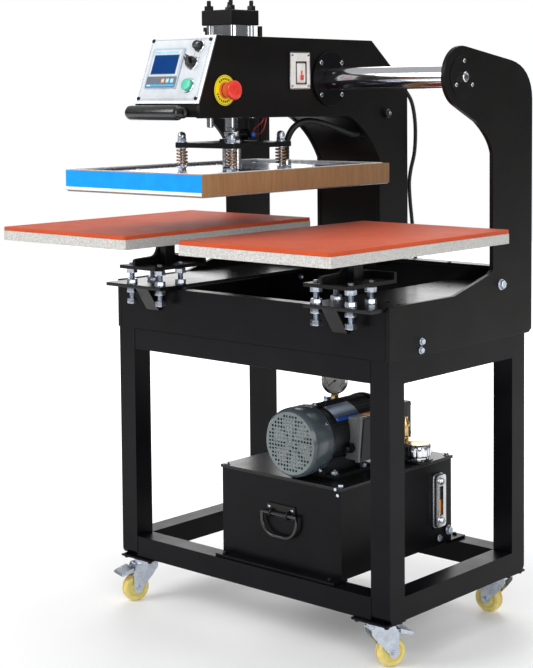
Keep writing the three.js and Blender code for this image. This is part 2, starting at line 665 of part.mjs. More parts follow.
function buildCart() {
  const cart = group(machine);
  for (const [side, sign] of sides) {
    add(cart, `${side}_leg_frame`, endFrame(sign), blackPaint);
    add(cart, `${side}_side_plate`, sidePlate(sign), blackPaint);
    add(cart, `${side}_tray`, tray(sign), blackPaint);
    add(cart, `${side}_platen_bracket`, platenBracket(sign), blackPaint);
    const platenTop = PLATEN.bottom + PLATEN.thick;
    add(cart, `${side}_platen`, platenSlab(sign, 0, PLATEN.bottom, platenTop), aluminium);
    const padBottom = platenTop + GAP;
    add(cart, `${side}_pad`, platenSlab(sign, 0.6, padBottom, padBottom + PLATEN.pad), silicone);
  }
  const railY = CART.halfY - TUBE / 2;
  for (const [end, y] of [['front', -railY], ['rear', railY]]) {
    add(cart, `${end}_lower_rail`, crossRail(y, CART.bottom), blackPaint);
    add(cart, `${end}_upper_rail`, crossRail(y, CART.top - TUBE), blackPaint);
  }
  add(cart, 'front_apron', frontApron(), blackPaint);
  add(cart, 'rear_apron', rearApron(), blackPaint);
  add(cart, 'guide_shaft', rodX(SHAFT.radius, -BETWEEN_SIDES, BETWEEN_SIDES, SHAFT.y, SHAFT.z, 32), chrome);
}

function buildPowerPack() {
  const pack = group(machine);
  add(pack, 'oil_tank', oilTank(), blackPaint);
  const lip = 3;
  const lid = box(TANK.x0 - lip, TANK.x1 + lip, TANK.y0 - lip, TANK.y1 + lip, TANK.top + GAP, LID_TOP);
  add(pack, 'tank_lid', lid, blackPaint);
  add(pack, 'pump_motor', pumpMotor(), motorPaint);
  add(pack, 'fan_cover', fanCover(), motorPaint);
  add(pack, 'valve_block', valveBlock(), blackPaint);
  const gauge = group(pack, 21.5, 34, 0);
  gauge.rotation.z = THREE.MathUtils.degToRad(41);
  add(gauge, 'pressure_gauge', pressureGauge(), zinc);
  add(pack, 'level_gauge', levelGauge(), zinc);
  add(pack, 'filler_cap', fillerCap(), chrome);
  add(group(pack, 78, TANK.y0 - 9.5, 277), 'tank_handle', tankHandle(), blackPaint);
}

// Each caster stands at its own swivel angle; the braked pair is at the front.
function buildCasters() {
  const places = [
    ['front_left', -1, -1, -18], ['front_right', 1, -1, 155],
    ['rear_left', -1, 1, 60], ['rear_right', 1, 1, -86],
  ];
  for (const [corner, a, b, angle] of places) {
    const caster = group(machine, a * CASTER.x, b * CASTER.y, 0);
    caster.rotation.z = THREE.MathUtils.degToRad(angle);
    add(caster, `caster_fork_${corner}`, casterFork(), zinc);
    add(caster, `caster_wheel_${corner}`, casterWheel(), tyre);
    if (b < 0) add(caster, `brake_pedal_${corner}`, brakePedal(), zinc);
  }
}

function buildControls(head) {
  const panel = group(head, 0, PANEL.y, PANEL.z);
  panel.rotation.x = -PANEL.tilt;
  const { thick, height } = PANEL;
  const face = -thick - GAP;
  const holes = [[54, 40, 10.5], [49, 91, 6.5], [58, 128, 5.5]];
  const plate = box(-HEAD.halfX, HEAD.halfX, face, -GAP, 0, height - 0.5);
  const bores = holes.map(([x, z, r]) => rodY(r, face - 1, 1, x, z, 16));
  add(panel, 'control_panel', cut(plate, ...bores), panelFace);

  const startCap = join(rodY(10, -12, -GAP, 0, 0, 20), rodY(12, -13, -8, 0, 0, 20));
  add(group(panel, 54, 0, 40), 'start_button', startCap, greenPlastic);
  const selector = join(
    rodY(6, -14, -GAP, 0, 0, 12),
    rodY(13, -14, -6, 0, 0, 20),
    box(-4.5, 4.5, -24, -13, -14, 14),
  );
  const selectorPlace = group(panel, 49, 0, 91);
  selectorPlace.rotation.y = THREE.MathUtils.degToRad(-35);
  add(selectorPlace, 'selector_knob', selector, blackPlastic);
  const knob = join(rodY(5, -10, -GAP, 0, 0, 12), rodY(12, -8, -4, 0, 0, 20), rodY(10, -19, -7, 0, 0, 16));
  add(group(panel, 58, 0, 128), 'timer_knob', knob, blackPlastic);

  const mushroom = [[0, 0], [8.5, 0], [8.5, 24], [14, 26], [20.5, 31], [20.5, 37], [14, 42], [0, 43]];
  const stop = turned(mushroom, 16).rotateY(Math.PI / 2).translate(HEAD.halfX - 8, -342, 1203);
  add(head, 'emergency_button', stop, redPlastic);
  const toggle = join(
    box(HEAD.halfX - 8, HEAD.halfX + 3.5, -112, -83, 1218, 1262),
    box(HEAD.halfX + 3, HEAD.halfX + 9, -105, -90, 1226, 1239),
  );
  add(head, 'power_switch', toggle, blackPlastic);
}

function buildHead() {
  const head = group(machine, HEAD.x, 0, 0);
  for (const [side, sign] of sides) add(head, `head_${side}_plate`, headPlate(sign), blackPaint);
  add(head, 'head_cover', headCover(), blackPaint);
  add(head, 'shaft_bearing', shaftBearing(), blackPaint);
  add(head, 'push_handle', pushHandle(), blackPlastic);
  add(head, 'cylinder', cylinder(), chrome);
  buildControls(head);

  add(head, 'piston_rod', pistonRod(), chrome);
  add(head, 'hanger_plate', hangerPlate(), blackPaint);
  add(head, 'heater_plate', heaterPlate(), aluminium);
  add(head, 'heater_cover', heaterBandShape(), heaterBand);
  for (const [corner, a, b] of springBoltPlaces) add(head, `spring_bolt_${corner}`, springBolt(a, b), zinc);
}

function buildLeads() {
  add(machine, 'heater_conduit', tubeAlong(heaterLeadRoute, HEATER_LEAD.radius, 8, 26), rubber);
  add(machine, 'supply_hose', tubeAlong(supplyHoseRoute, SUPPLY_HOSE_RADIUS, 8, 42), rubber);
}

buildCart();
buildPowerPack();
buildCasters();
buildHead();
buildLeads();

export default press;
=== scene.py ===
"""Looks for the heat press: finishes on the CAD frame, and the fasteners, controls and leads round it."""

import math

import bmesh
import bpy
from mathutils import Matrix, Vector


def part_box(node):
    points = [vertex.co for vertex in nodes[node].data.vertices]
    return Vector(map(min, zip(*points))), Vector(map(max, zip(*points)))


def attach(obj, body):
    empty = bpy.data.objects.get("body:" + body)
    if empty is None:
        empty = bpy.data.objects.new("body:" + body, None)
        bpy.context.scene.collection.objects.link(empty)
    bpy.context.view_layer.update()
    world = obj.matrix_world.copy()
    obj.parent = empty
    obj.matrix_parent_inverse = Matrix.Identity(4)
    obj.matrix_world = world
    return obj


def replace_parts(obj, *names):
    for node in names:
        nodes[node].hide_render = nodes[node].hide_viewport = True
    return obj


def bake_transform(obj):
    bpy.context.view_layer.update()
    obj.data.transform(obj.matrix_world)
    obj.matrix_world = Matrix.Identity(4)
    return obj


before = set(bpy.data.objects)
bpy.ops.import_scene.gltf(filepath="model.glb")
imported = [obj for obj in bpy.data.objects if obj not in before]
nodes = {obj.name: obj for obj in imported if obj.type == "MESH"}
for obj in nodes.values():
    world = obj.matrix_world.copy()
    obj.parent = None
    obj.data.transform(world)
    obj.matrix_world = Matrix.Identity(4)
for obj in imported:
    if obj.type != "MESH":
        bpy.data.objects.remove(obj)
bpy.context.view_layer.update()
collection = bpy.context.scene.collection

# ---------- the machine's own axes ----------
# Positions below are in millimetres on the cart's axes: X and Y from the cart's middle, Z from the floor.
MM = 0.001
SHAFT_Y, SHAFT_Z = 6, 1227
shaft_low, shaft_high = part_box("guide_shaft")
CART_Y = (shaft_low.y + shaft_high.y) / 2 - SHAFT_Y * MM
cylinder_low, cylinder_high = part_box("cylinder")
HEAD_X = (cylinder_low.x + cylinder_high.x) / 2 / MM
PRESS_Y = -218
PLATEN_X = 278
HEAD_HALF = 97  # from the head's middle to the outside of its side plates
CART, HEAD, PRESS = "cart", "head", "press_platen"
UP, DOWN, RIGHT, LEFT, FRONT, BACK = (
    (0, 0, 1), (0, 0, -1), (1, 0, 0), (-1, 0, 0), (0, -1, 0), (0, 1, 0),
)


def spot(x, y, z):
    """A point on the cart's axes, in the row frame."""
    return Vector((x * MM, y * MM + CART_Y, z * MM))


def at(point, axis=UP, turn=0.0):
    """Where a part goes: its local Z runs along axis, and its sizes are in millimetres."""
    turned = Vector(axis).normalized().to_track_quat("Z", "Y").to_matrix().to_4x4()
    return Matrix.Translation(spot(*point)) @ turned @ Matrix.Rotation(turn, 4, "Z") @ Matrix.Scale(MM, 4)


CART_FRAME = Matrix.Translation(spot(0, 0, 0)) @ Matrix.Scale(MM, 4)


def side_on(x):
    """For an outline drawn in the cart's (Y, Z), whose local Z runs to the right from x."""
    turned = Matrix(((0, 0, MM, 0), (MM, 0, 0, 0), (0, MM, 0, 0), (0, 0, 0, 1)))
    return Matrix.Translation(spot(x, 0, 0)) @ turned


# ---------- camera ----------
def make_camera():
    azimuth, pitch, roll = math.radians(41.984), math.radians(3.813), math.radians(-0.518)
    distance = 3.728
    target = spot(-154.9, 0, 955.3)
    back = Vector((
        math.sin(azimuth) * math.cos(pitch), -math.cos(azimuth) * math.cos(pitch), math.sin(pitch),
    ))
    right = Vector((math.cos(azimuth), math.sin(azimuth), 0))
    up = back.cross(right).normalized()
    rolled_right = right * math.cos(roll) + up * math.sin(roll)
    rolled_up = up * math.cos(roll) - right * math.sin(roll)
    data = bpy.data.cameras.new("camera")
    data.sensor_width = 36
    data.lens = 85.04
    data.shift_y = -0.2081
    camera = bpy.data.objects.new("camera", data)
    collection.objects.link(camera)
    turned = Matrix((rolled_right, rolled_up, back)).transposed().to_4x4()
    camera.matrix_world = Matrix.Translation(target + back * distance) @ turned
    bpy.context.scene.camera = camera


# ---------- mesh building ----------
class Build:
    """Gathers parts, each with its own material, into one mesh."""

    def __init__(self):
        self.bm = bmesh.new()
        self.materials = []

    def put(self, verts, faces, place, material):
        if material not in self.materials:
            self.materials.append(material)
        index = self.materials.index(material)
        made = [self.bm.verts.new(place @ Vector(v)) for v in verts]
        for corners in faces:
            face = self.bm.faces.new([made[i] for i in corners])
            face.material_index = index

    def lathe(self, profile, place, material, steps=32):
        """A profile of (radius, height) turned about local Z. A radius of 0 at an end closes it."""
        verts, rings = [], []
        for radius, height in profile:
            if radius <= 1e-6:
                rings.append([len(verts)])
                verts.append((0, 0, height))
            else:
                rings.append(list(range(len(verts), len(verts) + steps)))
                for i in range(steps):
                    angle = 2 * math.pi * i / steps
                    verts.append((radius * math.cos(angle), radius * math.sin(angle), height))
        faces = []
        closed = profile[0][0] > 1e-6 or profile[-1][0] > 1e-6
        pairs = list(zip(rings, rings[1:])) + ([(rings[-1], rings[0])] if closed else [])
        for low, high in pairs:
            for i in range(steps):
                j = (i + 1) % steps
                if len(low) == len(high) == 1:
                    continue
                if len(low) == 1:
                    faces.append((low[0], high[i], high[j]))
                elif len(high) == 1:
                    faces.append((low[i], high[0], low[j]))
                else:
                    faces.append((low[i], high[i], high[j], low[j]))
        self.put(verts, faces, place, material)

    def prism(self, outline, low, high, place, material):
        """An outline of (x, y) drawn from low to high along local Z."""
        count = len(outline)
        verts = [(x, y, low) for x, y in outline] + [(x, y, high) for x, y in outline]
        faces = [tuple(range(count)), tuple(range(2 * count - 1, count - 1, -1))]
        for i in range(count):
            j = (i + 1) % count
            faces.append((i, i + count, j + count, j))
        self.put(verts, faces, place, material)

    def block(self, low, high, material, place=None, corner=0.6):
        """A box with chamfered edges between two corners, in millimetres."""
        place = place or CART_FRAME
        low, high = Vector(low), Vector(high)
        c = min([corner] + [(high[i] - low[i]) * 0.4 for i in range(3)])
        verts, index = [], {}
        for sx in (0, 1):
            for sy in (0, 1):
                for sz in (0, 1):
                    for axis in range(3):
                        signs = (sx, sy, sz)
                        point = []
                        for k in range(3):
                            edge = (low, high)[signs[k]][k]
                            point.append(edge if k == axis else edge + (c if signs[k] == 0 else -c))
                        index[(signs, axis)] = len(verts)
                        verts.append(point)
        faces = []
        for axis in range(3):
            a, b = [k for k in range(3) if k != axis]
            for s in (0, 1):
                ring = []
                for u, v in ((0, 0), (1, 0), (1, 1), (0, 1)):
                    signs = [0, 0, 0]
                    signs[axis], signs[a], signs[b] = s, u, v
                    ring.append(index[(tuple(signs), axis)])
                faces.append(ring)
            for u in (0, 1):
                for v in (0, 1):
                    ends = []
                    for s in (0, 1):
                        signs = [0, 0, 0]
                        signs[axis], signs[a], signs[b] = s, u, v
                        ends.append(tuple(signs))
                    faces.append([index[(ends[0], a)], index[(ends[0], b)],
                                  index[(ends[1], b)], index[(ends[1], a)]])
        for sx in (0, 1):
            for sy in (0, 1):
                for sz in (0, 1):
                    faces.append([index[((sx, sy, sz), k)] for k in range(3)])
        self.put(verts, faces, place, material)

    def rod(self, radius, length, place, material, steps=24, chamfer=0.5):
        """A round bar with eased ends."""
        c = min(chamfer, radius * 0.4, length * 0.4)
        profile = [
            (0, 0), (radius - c, 0), (radius, c), (radius, length - c), (radius - c, length), (0, length),
        ]
        self.lathe(profile, place, material, steps)

    def hexagon(self, across, height, place, material, hole=0.0):
        """A nut or bolt head, across its flats."""
        r = across / math.sqrt(3)
        if hole:
            profile = [(hole, 0), (r, 0), (r, height * 0.84), (r * 0.9, height), (hole, height)]
        else:
            profile = [(0, 0), (r, 0), (r, height * 0.84), (r * 0.9, height), (0, height)]
        self.lathe(profile, place, material, 6)

    def bolt(self, point, axis, across, material, washer=True):
        """A hexagon head on its washer. The head's point is where the joint's face is."""
        base = at(point, axis, turn=0.3)
        lift = 0.0
        if washer:
            self.rod(across * 0.72, 1.4, base, material, 20, 0.3)
            lift = 1.3
        self.hexagon(across, across * 0.42, base @ Matrix.Translation((0, 0, lift)), material)

    def cap_screw(self, point, axis, radius, height, material, recess_shade):
        """A socket head screw; the dark disc on its socket's floor is painted shade in the recess."""
        place = at(point, axis)
        floor = height * 0.45
        self.lathe([
            (0, floor), (radius * 0.5, floor), (radius * 0.55, height * 0.96), (radius * 0.62, height),
            (radius * 0.88, height), (radius, height * 0.84), (radius, 0), (0, 0),
        ], place, material, 20)
        # Painted shade: a near-black disc on the socket's floor, where the hole is only dark from shade.
        self.lathe([
            (0, floor + 0.06), (radius * 0.49, floor + 0.06), (radius * 0.49, floor), (0, floor),
        ], place, recess_shade, 6)

    def dome_screw(self, point, axis, radius, material, recess_shade, turn=0.4):
        """A cross-recessed pan head screw; its cross is dark blocks on the dome, painted shade in place of
        the slots.
        """
        place = at(point, axis, turn)
        high = radius * 0.5
        self.lathe([(0, 0), (radius, 0), (radius, high * 0.3), (radius * 0.86, high * 0.75),
                    (radius * 0.5, high * 0.97), (0, high)], place, material, 20)
        # Painted shade: two dark blocks on the dome stand in for the cross slots.
        for a, b in ((radius * 0.5, radius * 0.11), (radius * 0.11, radius * 0.5)):
            self.block((-a, -b, high * 0.8), (a, b, high * 1.04), recess_shade, place, 0.05)

    def thread(self, point, axis, radius, length, material, pitch=1.75, steps=16):
        """A threaded end, its crests as rings."""
        turns = max(2, int(length / pitch))
        profile = [(0, 0)]
        for i in range(turns):
            profile.append((radius * 0.88, i * pitch))
            profile.append((radius, (i + 0.5) * pitch))
        profile += [(radius * 0.84, turns * pitch), (0, turns * pitch + 0.3)]
        self.lathe(profile, at(point, axis), material, steps)

    def tube(self, points, radius, material, sides=10, ripple=None):
        """A closed tube along points in the row frame. Ripple is a list of radius factors, repeated."""
        points = [Vector(p) for p in points]
        verts, faces = [], []
        normal = None
        for i, p in enumerate(points):
            ahead = points[min(i + 1, len(points) - 1)] - points[max(i - 1, 0)]
            ahead.normalize()
            if normal is None:
                normal = ahead.orthogonal().normalized()
            normal = (normal - ahead * normal.dot(ahead)).normalized()
            other = ahead.cross(normal)
            factor = ripple[i % len(ripple)] if ripple else 1.0
            for k in range(sides):
                angle = 2 * math.pi * k / sides
                verts.append(p + (normal * math.cos(angle) + other * math.sin(angle)) * radius * factor)
        for i in range(len(points) - 1):
            for k in range(sides):
                j = (k + 1) % sides
                a, b = i * sides, (i + 1) * sides
                faces.append((a + k, a + j, b + j, b + k))
        last = (len(points) - 1) * sides
        faces.append(tuple(range(sides - 1, -1, -1)))
        faces.append(tuple(range(last, last + sides)))
        self.put(verts, faces, Matrix.Identity(4), material)

    def piece(self, name, body=None, sharp=35):
        """The finished object. Edges steeper than sharp degrees stay crisp."""
        bmesh.ops.recalc_face_normals(self.bm, faces=self.bm.faces)
        limit = math.radians(sharp)
        for face in self.bm.faces:
            face.smooth = True
        for edge in self.bm.edges:
            edge.smooth = len(edge.link_faces) == 2 and edge.calc_face_angle(0) < limit
        mesh = bpy.data.meshes.new(name)
        self.bm.to_mesh(mesh)
        self.bm.free()
        for material in self.materials:
            mesh.materials.append(material)
        made = bpy.data.objects.new(name, mesh)
        collection.objects.link(made)
        if body:
            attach(made, body)
        return made


def rounded(x0, x1, y0, y1, corner, steps=5):
    """A rectangle's outline with rounded corners."""
    points = []
    for cx, cy, start in (
        (x1 - corner, y0 + corner, -90), (x1 - corner, y1 - corner, 0),
        (x0 + corner, y1 - corner, 90), (x0 + corner, y0 + corner, 180),
    ):
        for i in range(steps + 1):
            angle = math.radians(start + 90 * i / steps)
            points.append((cx + corner * math.cos(angle), cy + corner * math.sin(angle)))
    return points


def smooth_path(points, spacing):
    """A Catmull-Rom curve through points, cut into even steps of about spacing."""
    points = [Vector(p) for p in points]
    padded = [points[0] * 2 - points[1]] + points + [points[-1] * 2 - points[-2]]
    fine = []
    for i in range(1, len(padded) - 2):
        a, b, c, d = padded[i - 1:i + 3]
        for k in range(16):
            t = k / 16
            fine.append(0.5 * (b * 2 + (c - a) * t + (a * 2 - b * 5 + c * 4 - d) * t * t
                               + (b * 3 - a - c * 3 + d) * t * t * t))
    fine.append(points[-1])
    lengths = [0.0]
    for a, b in zip(fine, fine[1:]):
        lengths.append(lengths[-1] + (b - a).length)
    count = max(2, round(lengths[-1] / spacing))
    even, j = [], 0
    for i in range(count + 1):
        want = lengths[-1] * i / count
        while j < len(lengths) - 2 and lengths[j + 1] < want:
            j += 1
        share = (want - lengths[j]) / max(lengths[j + 1] - lengths[j], 1e-9)
        even.append(fine[j].lerp(fine[j + 1], share))
    return even, lengths[-1]


# ---------- materials ----------
class Finish:
    """A Principled material whose colour, roughness and bump come from procedural textures."""

    def __init__(self, name, colour, rough, metal=0.0, specular=0.5):
        self.made = bpy.data.materials.new(name)
        self.made.use_nodes = True
        self.tree = self.made.node_tree
        self.shader = self.tree.nodes["Principled BSDF"]
        self.colour, self.rough = colour, rough
        self.shader.inputs["Base Color"].default_value = (*colour, 1)
        self.shader.inputs["Roughness"].default_value = rough
        self.shader.inputs["Metallic"].default_value = metal
        self.shader.inputs["Specular IOR Level"].default_value = specular
        self.coordinate = self.tree.nodes.new("ShaderNodeTexCoord")
        self.bump_node = None

    def link(self, a, b):
        self.tree.links.new(a, b)

    def mapped(self, stretch):
        """The object's own coordinates, stretched."""
        mapping = self.tree.nodes.new("ShaderNodeMapping")
        mapping.inputs["Scale"].default_value = stretch
        self.link(self.coordinate.outputs["Object"], mapping.inputs["Vector"])
        return mapping.outputs["Vector"]

    def noise(self, scale, detail=3.0, stretch=(1, 1, 1), rough=0.5):
        place = self.mapped(stretch)
        node = self.tree.nodes.new("ShaderNodeTexNoise")
        node.inputs["Scale"].default_value = scale
        node.inputs["Detail"].default_value = detail
        node.inputs["Roughness"].default_value = rough
        self.link(place, node.inputs["Vector"])
        return node.outputs["Fac"]

    def cells(self, scale):
        place = self.mapped((1, 1, 1))
        node = self.tree.nodes.new("ShaderNodeTexVoronoi")
        node.inputs["Scale"].default_value = scale
        self.link(place, node.inputs["Vector"])
        return node.outputs["Distance"]

    def ranged(self, value, low, high, to_low, to_high):
        node = self.tree.nodes.new("ShaderNodeMapRange")
        for key, number in (("From Min", low), ("From Max", high), ("To Min", to_low), ("To Max", to_high)):
            node.inputs[key].default_value = number
        self.link(value, node.inputs["Value"])
        return node.outputs["Result"]

    def tint(self, value, dark, light, low=0.35, high=0.65):
        """Colour that runs from dark to light as a texture goes from low to high."""
        ramp = self.tree.nodes.new("ShaderNodeValToRGB")
        ramp.color_ramp.elements[0].position = low
        ramp.color_ramp.elements[0].color = (*dark, 1)
        ramp.color_ramp.elements[1].position = high
        ramp.color_ramp.elements[1].color = (*light, 1)
        self.link(value, ramp.inputs["Fac"])
        self.link(ramp.outputs["Color"], self.shader.inputs["Base Color"])
        return self

    def vary(self, value, amount):
        """Lighter and darker patches of the base colour."""
        dark = tuple(c * (1 - amount) for c in self.colour)
        light = tuple(min(1, c * (1 + amount)) for c in self.colour)
        return self.tint(value, dark, light)

    def polish(self, value, spread):
        """Roughness that wanders round the base value."""
        low, high = max(0.02, self.rough - spread), min(1, self.rough + spread)
        self.link(self.ranged(value, 0.3, 0.7, low, high), self.shader.inputs["Roughness"])
        return self

    def bump(self, value, strength, distance):
        node = self.tree.nodes.new("ShaderNodeBump")
        node.inputs["Strength"].default_value = strength
        node.inputs["Distance"].default_value = distance
        self.link(value, node.inputs["Height"])
        if self.bump_node:
            self.link(self.bump_node.outputs["Normal"], node.inputs["Normal"])
        self.link(node.outputs["Normal"], self.shader.inputs["Normal"])
        self.bump_node = node
        return self


def powder(name, colour, rough, grain, strength, specular):
    f = Finish(name, colour, rough, specular=specular)
    f.vary(f.noise(9, 3), 0.2).polish(f.noise(14, 3), 0.04)
    f.bump(f.noise(grain, 2), strength, 0.0004)
    return f.made


def moulded(name, colour, rough=0.3, specular=0.5):
    f = Finish(name, colour, rough, specular=specular)
    f.vary(f.noise(40, 3), 0.06).polish(f.noise(120, 4), 0.06).bump(f.noise(1500, 2), 0.05, 0.0002)
    return f.made


def metal(name, colour, rough, spread=0.08, grain=600, stretch=(1, 1, 1), strength=0.08, patch=0.12):
    f = Finish(name, colour, rough, metal=1.0)
    f.vary(f.noise(60, 4, stretch), patch).polish(f.noise(90, 5, stretch), spread)
    f.bump(f.noise(grain, 3, stretch), strength, 0.0002)
    return f.made


def cast_aluminium():
    f = Finish("cast_aluminium", (0.56, 0.55, 0.53), 0.52, metal=0.55)
    f.tint(f.noise(420, 6, rough=0.8), (0.34, 0.335, 0.32), (0.72, 0.71, 0.68), 0.38, 0.6)
    f.polish(f.noise(400, 4), 0.12).bump(f.noise(900, 4), 0.35, 0.0005).bump(f.cells(240), 0.12, 0.0005)
    return f.made


def silicone():
    f = Finish("silicone", (0.5, 0.07, 0.02), 0.66, specular=0.06)
    f.tint(f.noise(5, 3), (0.47, 0.064, 0.018), (0.53, 0.078, 0.022))
    f.polish(f.noise(25, 4), 0.07).bump(f.noise(1100, 2), 0.2, 0.0003).bump(f.noise(14, 2), 0.06, 0.002)
    f.shader.inputs["Sheen Weight"].default_value = 0.08
    return f.made


def kraft_tape():
    f = Finish("kraft_tape", (0.34, 0.19, 0.085), 0.5)
    wrinkles_and_crease_shade = f.noise(110, 5, (1, 1, 0.12), 0.6)
    # The colour follows the wrinkles' height and is darker in the troughs. This is partly the paper's own
    # uneven tone and partly painted crease shade.
    f.tint(wrinkles_and_crease_shade, (0.24, 0.125, 0.045), (0.33, 0.19, 0.08), 0.3, 0.72)
    f.polish(f.noise(60, 4, (1, 1, 0.2)), 0.08).bump(wrinkles_and_crease_shade, 0.22, 0.0012)
    f.bump(f.noise(900, 3, (1, 1, 0.4)), 0.1, 0.0003)
    return f.made


def braid():
    f = Finish("glass_braid", (0.7, 0.7, 0.68), 0.65)
    f.tint(f.cells(420), (0.7, 0.7, 0.68), (0.48, 0.47, 0.45), 0.25, 0.75)
    f.bump(f.cells(420), 0.3, 0.0006)
    return f.made


def wheel_tread():
    f = Finish("cast_urethane", (0.76, 0.63, 0.19), 0.3)
    f.tint(f.noise(45, 4), (0.7, 0.56, 0.14), (0.82, 0.7, 0.24)).polish(f.noise(80, 4), 0.08)
    f.bump(f.noise(700, 3), 0.06, 0.0003)
    f.shader.inputs["Subsurface Weight"].default_value = 0.12
    f.shader.inputs["Subsurface Radius"].default_value = (0.004, 0.003, 0.001)
    return f.made


def pale_floor():
    """White, and lit from within beyond the machine, so that it meets the white backdrop."""
    f = Finish("floor_white", (0.86, 0.86, 0.86), 0.55, specular=0.1)
    f.vary(f.noise(3, 3), 0.01)
    reach = f.tree.nodes.new("ShaderNodeVectorMath")
    reach.operation = "LENGTH"
    f.link(f.coordinate.outputs["Object"], reach.inputs[0])
    glow = f.ranged(reach.outputs["Value"], 0.7, 2.4, 0.12, 0.75)
    f.shader.inputs["Emission Color"].default_value = (1, 1, 1, 1)
    f.link(glow, f.shader.inputs["Emission Strength"])
    return f.made


black = powder("frame_black", (0.0036, 0.0037, 0.0048), 0.33, 700, 0.05, 0.1)
plate_black = powder("plate_black", (0.0052, 0.0048, 0.0044), 0.4, 1500, 0.1, 0.12)
tray_black = powder("tray_black", (0.006, 0.006, 0.0072), 0.3, 900, 0.04, 0.3)
oxide = powder("black_oxide", (0.006, 0.0058, 0.0056), 0.34, 1200, 0.06, 0.2)
motor_grey = powder("motor_enamel", (0.062, 0.08, 0.092), 0.22, 500, 0.04, 0.5)
motor_light = powder("motor_cover_enamel", (0.12, 0.148, 0.15), 0.28, 500, 0.04, 0.5)
motor_dark = powder("motor_dark", (0.012, 0.013, 0.015), 0.4, 600, 0.1, 0.3)
box_grey = powder("terminal_grey", (0.17, 0.175, 0.18), 0.33, 600, 0.08, 0.5)
pump_grey = powder("pump_casting", (0.06, 0.062, 0.064), 0.42, 600, 0.15, 0.4)
chrome = metal("hard_chrome", (0.6, 0.61, 0.64), 0.13, 0.04, 500, (0.05, 1, 1), 0.02, 0.05)
bright = metal("turned_steel", (0.66, 0.67, 0.69), 0.2, 0.07, 900, (1, 1, 0.2), 0.05)
zinc = metal("bright_zinc", (0.55, 0.6, 0.68), 0.3, 0.08, 400, (1, 1, 1), 0.08, 0.12)
steel = metal("brushed_steel", (0.42, 0.43, 0.45), 0.3, 0.06, 900, (1, 1, 0.15), 0.05)
plate_silver = metal("nameplate", (0.34, 0.4, 0.52), 0.34, 0.04, 500, (1, 1, 1), 0.02, 0.04)
film_aluminium = metal("filmed_aluminium", (0.4, 0.42, 0.52), 0.22, 0.02, 300, (1, 0.1, 1), 0.01, 0.03)
bare_aluminium = metal("panel_edge_aluminium", (0.72, 0.73, 0.75), 0.34, 0.06, 700, (0.1, 1, 1), 0.06, 0.05)
spring_copper = metal("spring_wire", (0.5, 0.33, 0.2), 0.3, 0.08, 700, (1, 1, 1), 0.08, 0.2)
brass = metal("turned_brass", (0.66, 0.45, 0.18), 0.28, 0.08, 800, (1, 1, 0.2), 0.06)
aluminium = cast_aluminium()
pad_orange = silicone()
tape = kraft_tape()
braided = braid()
tread = wheel_tread()
blue_enamel = moulded("blue_enamel", (0.0, 0.27, 1.0), 0.42, 0.2)
white = moulded("white_plastic", (0.78, 0.77, 0.74), 0.4)
overlay = moulded("panel_overlay", (0.6, 0.63, 0.67), 0.45, 0.2)
bezel_grey = moulded("display_bezel", (0.42, 0.49, 0.56), 0.45, 0.2)
strip_grey = moulded("display_strip", (0.09, 0.11, 0.14), 0.35)
screen = moulded("display_glass", (0.0, 0.036, 0.17), 0.14, 0.12)
cyan = moulded("display_cyan", (0.03, 0.38, 0.72), 0.3)
orange = moulded("display_orange", (0.85, 0.3, 0.04), 0.3)
pale_blue = moulded("display_pale_blue", (0.3, 0.6, 0.75), 0.3)
red = moulded("signal_red", (0.72, 0.035, 0.02), 0.3)
collar_red = moulded("collar_orange", (0.85, 0.14, 0.045), 0.38)
yellow = moulded("signal_yellow", (0.83, 0.7, 0.0), 0.45)
green = moulded("button_green", (0.05, 0.5, 0.33), 0.3)
plastic = moulded("black_plastic", (0.008, 0.008, 0.009), 0.24, 0.5)
grip = moulded("black_grip", (0.007, 0.007, 0.008), 0.2, 0.6)
rubber = moulded("black_rubber", (0.01, 0.01, 0.011), 0.42, 0.4)
wire_red = moulded("red_insulation", (0.55, 0.015, 0.02), 0.4)
label_blue = moulded("label_blue", (0.015, 0.09, 0.42), 0.35)
amber = moulded("level_amber", (0.75, 0.26, 0.03), 0.3)
# Near-black for printed ticks, needles and marks, and also for painted shade in screw recesses and holes.
dark = moulded("print_black_and_recess_shade", (0.004, 0.004, 0.004), 0.6, 0.2)
white_dial = moulded("dial_white", (0.72, 0.72, 0.69), 0.4)
floor_white = pale_floor()


# ---------- finishes on the CAD nodes ----------
EASED_ANGLE = 40  # edges steeper than this, in degrees, are eased
CORNERS = (("front_left", -1, -1), ("front_right", 1, -1), ("rear_left", -1, 1), ("rear_right", 1, 1))


def coat_node(name, material, bevel):
    """The CAD node keeps its shape; its edges are eased and its faces take a finish."""
    node = nodes[name]
    mesh = node.data
    mesh.materials.clear()
    mesh.materials.append(material)
    for polygon in mesh.polygons:
        polygon.use_smooth = True
        polygon.material_index = 0
    weld = node.modifiers.new("weld", "WELD")
    weld.merge_threshold = 0.02 * MM
    ease = node.modifiers.new("ease", "BEVEL")
    ease.width = bevel * MM
    ease.segments = 2
    ease.limit_method = "ANGLE"
    ease.angle_limit = math.radians(EASED_ANGLE)
    level = node.modifiers.new("level", "WEIGHTED_NORMAL")
    level.weight = 100
    level.mode = "FACE_AREA"


